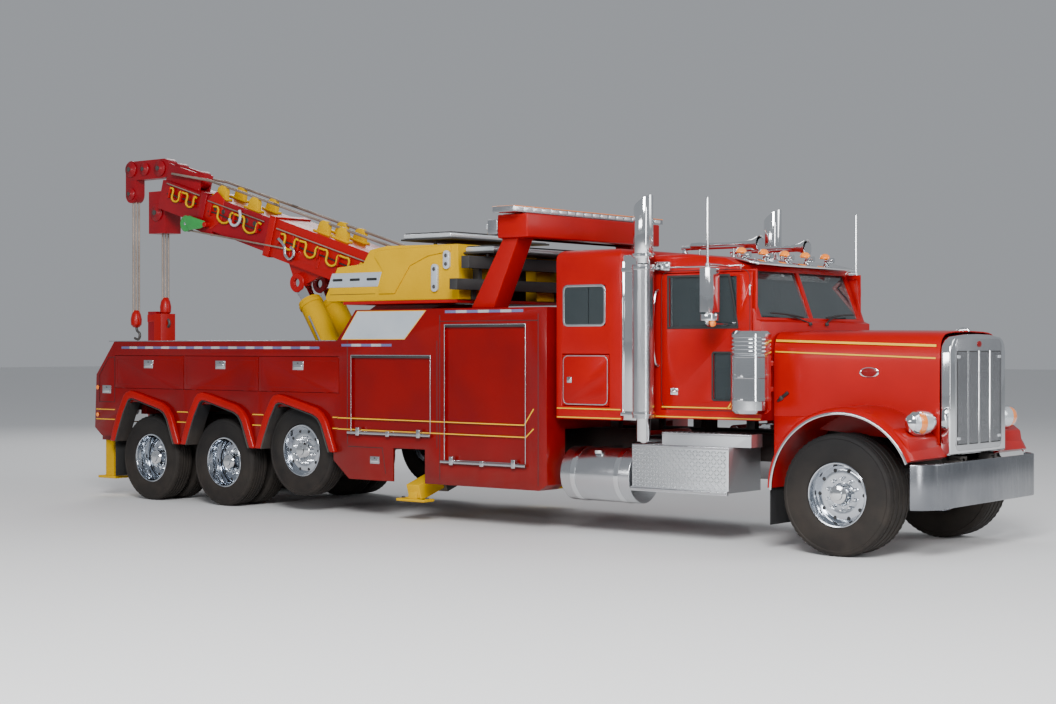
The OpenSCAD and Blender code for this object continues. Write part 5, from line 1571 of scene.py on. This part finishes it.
@dataclass
class Boom:
    """The three-stage boom, laid out along its own slope."""

    pivot: Point = (-5.45, 0.0, 2.5)
    slope: float = math.radians(16.7)

    def at(self, u: float, w: float, y: float = 0.0) -> Point:
        """Returns a point from places along, above and across the boom."""
        c, s = math.cos(self.slope), math.sin(self.slope)
        return (self.pivot[0] - u * c + w * s, y, self.pivot[2] + u * s + w * c)

    def frame(self, u: float, w: float, y: float = 0.0) -> Matrix:
        """Returns the matrix that lays +X along the boom towards its head."""
        c, s = math.cos(self.slope), math.sin(self.slope)
        turn = Matrix(((-c, 0, s, 0), (0, -1, 0, 0), (s, 0, c, 0), (0, 0, 0, 1)))
        return Matrix.Translation(self.at(u, w, y)) @ turn

    def lip(self, work: Work, u: float, half: float, low: float, high: float,
            finish: Finish) -> None:
        """Adds the reinforcing collar round the mouth of a stage."""
        t = 0.018
        for a, b in (((-half - t, low - t), (half + t, low)),
                ((-half - t, high), (half + t, high + t)), ((-half - t, low), (-half, high)),
                ((half, low), (half + t, high))):
            work.slab((0, a[0], a[1]), (0.11, b[0], b[1]), 0.006, 2, finish, self.frame(u, 0))

    def flag(self, work: Work, u: float, w: float, y: float) -> None:
        """Adds one yellow rope guide that stands on the boom's top."""
        m = self.frame(u, w)
        work.section(mm(-100, 0, 100, 0, 75, 115, 30, 150, -45, 150, -85, 105), Axis.Y, y - 0.035,
            y + 0.035, 0.01, 2, YELLOW, m)
        work.slab((-0.14, y - 0.05, -0.012), (0.14, y + 0.05, 0.014), 0.006, 2, YELLOW, m)

    def ropes(self, work: Work, start: float, stop: float, low: float, high: float) -> None:
        """Adds both winch ropes over one stage, between two heights above the boom."""
        for y in (-0.15, 0.15):
            work.rod(self.at(start, low, y), self.at(stop, high, y), 0.017, 12, ROPE)

    def hoses(self, work: Work, start: float, stop: float, half: float, low: float) -> None:
        """Adds the clipped hydraulic hoses down the right-hand flank of a stage."""
        count = max(2, round((stop - start) / 0.42))
        pitch = (stop - start) / count
        path = []
        for i in range(count):
            u = start + pitch * i
            for share, drop in ((0.0, -0.01), (0.1, -0.01), (0.18, 0.115), (0.56, 0.12),
                    (0.64, -0.01), (0.8, -0.01)):
                path.append(self.at(u + pitch * share, low + 0.1 - drop, -half - 0.028))
        work.pipe(path, 0.013, 3, YELLOW)
        line = [self.at(start + (stop - start) * i / 5, low + 0.035 - 0.012 * (i % 2),
            -half - 0.016) for i in range(6)]
        work.pipe(line, 0.009, 2, RUBBER)
        work.rod(self.at(start - 0.04, low + 0.15, -half - 0.02),
            self.at(stop + 0.04, low + 0.15, -half - 0.02), 0.008, 10, ROPE)
        for u in grid(start + 0.05, stop - 0.05, count + 1):
            work.slab((-0.014, half - 0.004, low - 0.02), (0.014, half + 0.04, low + 0.13), 0.005,
                2, BOOM_RED, self.frame(u, 0))

    def base(self) -> None:
        """Builds the base stage with its collar, guides and pins."""
        work = Work("boom_base_stage")
        work.cad("boom_base", BOOM_RED, 0.014, 3)
        self.lip(work, 2.888, 0.281, -0.371, 0.101, BOOM_RED)
        for u in (2.187, 1.868):
            self.flag(work, u, 0.108, 0.15)
            self.flag(work, u, 0.108, -0.15)
        self.ropes(work, 0.55, 3.12, 0.235, 0.235)
        self.hoses(work, 1.3, 2.8, 0.28, -0.16)
        for u in (1.05, 1.55, 2.05, 2.55):
            work.slab((-0.02, -0.288, -0.3), (0.02, 0.288, -0.02), 0.006, 2, BOOM_RED,
                self.frame(u, 0))
        work.mount("boom_base", BOOM_RED, "boom_base")

    def middle(self) -> None:
        """Builds the middle stage."""
        work = Work("boom_middle_stage")
        # Painted shade: the middle stage takes the darker copy of the boom red
        work.cad("boom_mid", SHADED_BOOM_RED, 0.012, 3)
        self.lip(work, 4.218, 0.257, -0.347, 0.077, SHADED_BOOM_RED)
        for u in (3.456, 4.067):
            self.flag(work, u, 0.086, 0.15)
            self.flag(work, u, 0.086, -0.15)
        self.ropes(work, 3.0, 4.42, 0.235, 0.235)
        self.hoses(work, 3.14, 4.14, 0.256, -0.14)
        for i in range(6):
            work.turned(mm(0, 0, 30, 0, 33, -3, 26, -8, 0, -7),
                self.at(3.28 + 0.15 * i, -0.06, -0.256), Axis.Y, 18, BLACK)
        work.mount("boom_mid", SHADED_BOOM_RED, "boom_mid")

    def tip(self) -> None:
        """Builds the tip stage with its head, block, hook and lines."""
        work = Work("boom_tip_stage")
        # Painted shade: the tip stage and its sheave caps take the darker copy of the boom red
        work.cad("boom_tip", SHADED_BOOM_RED, 0.006, 3)
        self.ropes(work, 4.36, 5.1, 0.235, 0.15)
        self.hoses(work, 4.42, 5.0, 0.232, -0.12)
        for x, low, high in ((-11.2, 2.14, 3.8), (-10.6, 2.3, 3.4)):
            for dx, y in ((-0.014, -0.036), (0.014, -0.012), (-0.014, 0.012), (0.014, 0.036)):
                work.rod((x + dx, y, low), (x + dx, y, high), 0.0125, 12, ROPE)
            work.turned(mm(0, 0, 40, 4, 70, 40, 74, 110, 60, 180, 36, 230, 0, 240),
                (x, 0, low - 0.02), Axis.Z, 22, BOOM_RED)
            work.pipe([(x, 0, low), (x + 0.02, 0, low - 0.06), (x + 0.07, 0, low - 0.1),
                (x + 0.05, 0, low - 0.17), (x - 0.03, 0, low - 0.16)], 0.018, 3, IRON)
        spots = ((-11.215, 4.225, 0.105, 0.074), (-10.93, 4.215, 0.085, 0.076),
            (-10.62, 4.205, 0.105, 0.078), (-10.615, 3.62, 0.11, 0.134),
            (-11.215, 3.9, 0.08, 0.074))
        for x, z, radius, half in spots:
            for sign in (1, -1):
                work.turned([(0, 0), (radius, 0), (radius, 0.014 * sign),
                    (radius * 0.92, 0.024 * sign), (radius * 0.45, 0.026 * sign),
                    (radius * 0.42, 0.04 * sign), (0, 0.042 * sign)],
                    (x, half * sign - 0.004 * sign, z), Axis.Y, 32, SHADED_BOOM_RED)
                work.turned([(0, 0), (radius * 0.3, 0), (radius * 0.3, 0.012 * sign),
                    (0, 0.014 * sign)], (x, (half + 0.036) * sign, z), Axis.Y, 18, IRON)
        bracket = mm(-9620, 3640, -9300, 3820, -9160, 3700, -9220, 3440, -9420, 3340, -9540, 3400)
        work.section(bracket, Axis.Y, -0.262, -0.236, 0.008, 2, BOOM_RED)
        work.pipe([(-9.04, -0.285, 3.46), (-8.97, -0.29, 3.38), (-8.88, -0.29, 3.39),
            (-8.83, -0.29, 3.47), (-8.85, -0.285, 3.56)], 0.018, 3, PANEL)
        self.block(work)
        work.mount("boom_tip", BOOM_RED, "boom_tip")

    def build(self) -> None:
        """Builds all three stages."""
        self.base()
        self.middle()
        self.tip()

    def block(self, work: Work) -> None:
        """Adds the green snatch block, its bracket and the spare hook."""
        x, z, y = -9.83, 3.435, -0.285
        for side in (-0.03, 0.03):
            work.turned(mm(0, -6, 95, -6, 104, 0, 95, 6, 0, 6), (x, y + side, z), Axis.Y, 32,
                GREEN)
        work.turned(mm(20, -20, 88, -20, 92, -14, 78, 0, 92, 14, 88, 20, 20, 20), (x, y, z),
            Axis.Y, 32, IRON)
        work.rod((x, y - 0.046, z), (x, y + 0.06, z), 0.02, 18, CHROME)
        work.section(mm(-50, 85, 100, 90, 380, 15, 400, -45, 300, -75, 80, -90, at=(x, z)), Axis.Y,
            y - 0.05, y - 0.036, 0.006, 2, GREEN)
        work.rod((-9.45, -0.345, 3.405), (-9.45, -0.225, 3.405), 0.034, 20, BOOM_RED)
        work.rod((x + 0.02, y, z - 0.085), (-8.05, -0.3, 3.06), 0.011, 12, ROPE)
        work.pipe([(-8.12, -0.31, 3.18), (-8.02, -0.31, 3.08), (-8.0, -0.31, 2.97),
            (-7.9, -0.31, 2.93), (-7.86, -0.31, 3.02), (-7.91, -0.31, 3.07)], 0.02, 3, STAINLESS)


@dataclass
class Hydraulics:
    """The lift cylinders, outriggers, jacks and underlift."""

    foot: Point = (-7.0, 0.19, 1.36)
    eye: Point = (-7.862, 0.19, 2.64)

    def along(self, share: float, sign: int) -> Point:
        """Returns a point of a lift cylinder's axis, as a distance from its foot."""
        a, b = Vector(self.foot), Vector(self.eye)
        p = a + (b - a).normalized() * share
        return (p.x, p.y * sign, p.z)

    def rams(self) -> None:
        """Builds both lift cylinders."""
        work = Work("lift_barrel_pair")
        work.cad("lift_barrels", YELLOW, 0.004)
        rods = Work("lift_rod_pair")
        rods.cad("lift_rods", CHROME, 0.003)
        for sign in (1, -1):
            for low, wide in ((0.1, 0.148), (1.18, 0.15)):
                work.rod(self.along(low, sign), self.along(low + 0.085, sign), wide, 40)
            a, b = self.along(0.3, sign), self.along(1.05, sign)
            work.pipe([(a[0] + 0.02, a[1] + 0.15 * sign, a[2]),
                ((a[0] + b[0]) / 2 + 0.02, a[1] + 0.162 * sign, (a[2] + b[2]) / 2),
                (b[0] + 0.02, b[1] + 0.15 * sign, b[2])], 0.014, 3, CHROME)
            eye_place = (self.eye[0], self.eye[1] * sign - 0.075, self.eye[2])
            rods.turned(mm(52, 0, 112, 0, 118, 8, 118, 142, 112, 150, 52, 150), eye_place, Axis.Y,
                36, BOOM_RED)
        work.mount("lift_barrels", YELLOW, "lift_barrels")
        rods.mount("lift_rods", CHROME, "lift_rods")

    def legs(self) -> None:
        """Builds the outriggers and the rear jacks."""
        for name, sign in both("outrigger"):
            work = Work(name + "_leg")
            work.cad(name, YELLOW, 0.01, 3)
            work.slab((-5.18, 1.1 * sign, 0.245), (-5.02, 1.24 * sign, 0.262), 0.006, 2)
            for x in (-5.27, -4.93):
                work.turned(mm(0, 0, 22, 0, 24, 4, 18, 16, 0, 18), (x, 1.17 * sign, 0.245), Axis.Z,
                    6, IRON)
            work.mount(name, YELLOW, name)
        for name, sign in both("rear_jack"):
            work = Work(name + "_leg")
            work.cad(name, YELLOW, 0.008, 3)
            work.slab((-10.41, 0.97 * sign, 0.244), (-10.25, 1.13 * sign, 0.262), 0.006, 2)
            work.mount(name, YELLOW, name)

    def underlift(self) -> None:
        """Builds the folded underlift and its crossbar."""
        arm = Work("underlift_folded")
        arm.cad("underlift_arm", BOOM_RED, 0.01, 3)
        for z in (1.0, 1.32, 1.64, 1.96):
            # Painted shade: the strips and the crossbar take the darker copy of the boom red
            arm.slab((-10.697, -0.105, z - 0.03), (-10.686, 0.105, z + 0.03), finish=SHADED_BOOM_RED)
        arm.mount("underlift", BOOM_RED, "underlift_arm")
        bar = Work("underlift_crossbar_folded")
        bar.cad("underlift_crossbar", SHADED_BOOM_RED, 0.008, 3)
        for z in (1.02, 2.24):
            bar.slab((-10.868, -0.088, z - 0.05), (-10.69, 0.088, z + 0.05), 0.008, 3, BOOM_RED)
        bar.turned(mm(0, 0, 60, 0, 64, -6, 56, -20, 0, -22), (-10.858, 0, 1.64), Axis.X, 24, IRON)
        bar.mount("crossbar", SHADED_BOOM_RED, "underlift_crossbar")

    def build(self) -> None:
        """Builds all of them."""
        self.rams()
        self.legs()
        self.underlift()


@dataclass
class Chassis:
    """The frame, axles, engine block and what hangs from them."""

    plain: tuple[tuple[str, str, Finish, float], ...] = (("chassis_frame", "truck", BLACK, 0.003),
        ("engine_block", "truck", IRON, 0.02), ("axles", "truck", BLACK, 0.006),
        ("knuckle_left", "knuckle_left", IRON, 0.004), ("knuckle_right", "knuckle_right", IRON,
        0.004))

    def build(self) -> None:
        """Builds the running gear and the mud flaps."""
        for node, body, finish, width in self.plain:
            work = Work(node + "_finished")
            work.cad(node, finish, width)
            work.mount(body, finish, node)
        flaps = Work("mud_flaps")
        for x, low, high in ((-0.69, 0.24, 0.66), (-10.115, 0.26, 0.78)):
            flaps.slab((x, 0.74, low), (x + 0.012, 1.2, high))
            flaps.slab((x - 0.006, 0.76, high - 0.06), (x + 0.018, 1.18, high - 0.03),
                finish=STAINLESS)
        flaps.slab((-0.74, 0.43, 0.6), (-0.66, 1.12, 0.67), 0.012, 2, BLACK)
        flaps.slab((-10.16, 0.43, 0.72), (-10.08, 1.12, 0.79), 0.012, 2, BLACK)
        flaps.mirrored()
        flaps.mount("truck", RUBBER)


# Studio ------------------------------------------------------------------
@dataclass(frozen=True)
class Studio:
    """The floor, the light and the camera."""

    eye: Point = (13.028, -15.321, 1.879)
    yaw: float = 0.6766
    pitch: float = -0.0035
    lens: float = 60.88

    def floor(self) -> None:
        """Lays a plain pale floor."""
        bpy.ops.mesh.primitive_plane_add(size=240, location=(0, 0, -0.002))
        ground = bpy.context.object
        ground.name = "studio_floor"
        made = bpy.data.materials.new("studio_pale")
        made.use_nodes = True
        shader = made.node_tree.nodes["Principled BSDF"]
        shader.inputs["Base Color"].default_value = (0.8, 0.8, 0.8, 1)
        shader.inputs["Roughness"].default_value = 0.85
        ground.data.materials.append(made)

    def lamp(self, name: str, place: Point, aim: Point, size: float, power: float,
            tall: float = 0.0) -> None:
        """Hangs one soft lamp that looks at a point.

        Args:
            name: its name.
            place: where it hangs.
            aim: what it looks at.
            size: its width.
            power: its power in watts.
            tall: its height, where it isn't square.
        """
        data = bpy.data.lights.new(name, "AREA")
        data.size = size
        if tall:
            data.shape = "RECTANGLE"
            data.size_y = tall
        data.energy = power
        lamp = bpy.data.objects.new(name, data)
        lamp.location = place
        way = Vector(aim) - Vector(place)
        lamp.rotation_euler = way.to_track_quat("-Z", "Y").to_euler()
        bpy.context.scene.collection.objects.link(lamp)

    def sky(self) -> None:
        """Sets a soft even surround."""
        world = bpy.data.worlds.new("studio_sky")
        world.use_nodes = True
        glow = world.node_tree.nodes["Background"]
        glow.inputs["Color"].default_value = (0.9, 0.94, 1.0, 1)
        glow.inputs["Strength"].default_value = 0.38
        bpy.context.scene.world = world

    def camera(self) -> None:
        """Stands the camera where the truck is seen three-quarters from its right front."""
        data = bpy.data.cameras.new("main_camera")
        data.lens = self.lens
        data.sensor_width = 36
        data.clip_end = 500
        camera = bpy.data.objects.new("main_camera", data)
        camera.location = self.eye
        camera.rotation_euler = (math.pi / 2 + self.pitch, 0, self.yaw)
        bpy.context.scene.collection.objects.link(camera)
        bpy.context.scene.camera = camera

    def build(self) -> None:
        """Sets the whole studio."""
        self.floor()
        self.sky()
        self.camera()
        self.lamp("key", (12, -15, 11), (0, 0, 1.5), 6, 4600)
        self.lamp("fill", (17, 7, 8), (1, 0, 1.5), 8, 900)
        self.lamp("strip_front", (15, -8, 4), (4, 0, 1.4), 1.2, 300, 7)
        self.lamp("strip_side", (1, -15, 4.5), (0, 0, 1.4), 9, 360, 1.4)
        self.lamp("back", (-14, 10, 12), (-1, 0, 2), 8, 900)


def main() -> None:
    """Builds every assembly in order, then the studio."""
    logging.basicConfig(level=logging.INFO, format="%(name)s %(message)s")
    Chassis().build()
    wheels()
    Bumper().build()
    Bonnet().build()
    Cab().build()
    Sleeper().build()
    SideFittings().build()
    WreckerBody().build()
    Pylon().build()
    Turret().build()
    Boom().build()
    Hydraulics().build()
    deselect_all()
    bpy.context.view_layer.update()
    Studio().build()


if __name__ == "__main__":
    main()
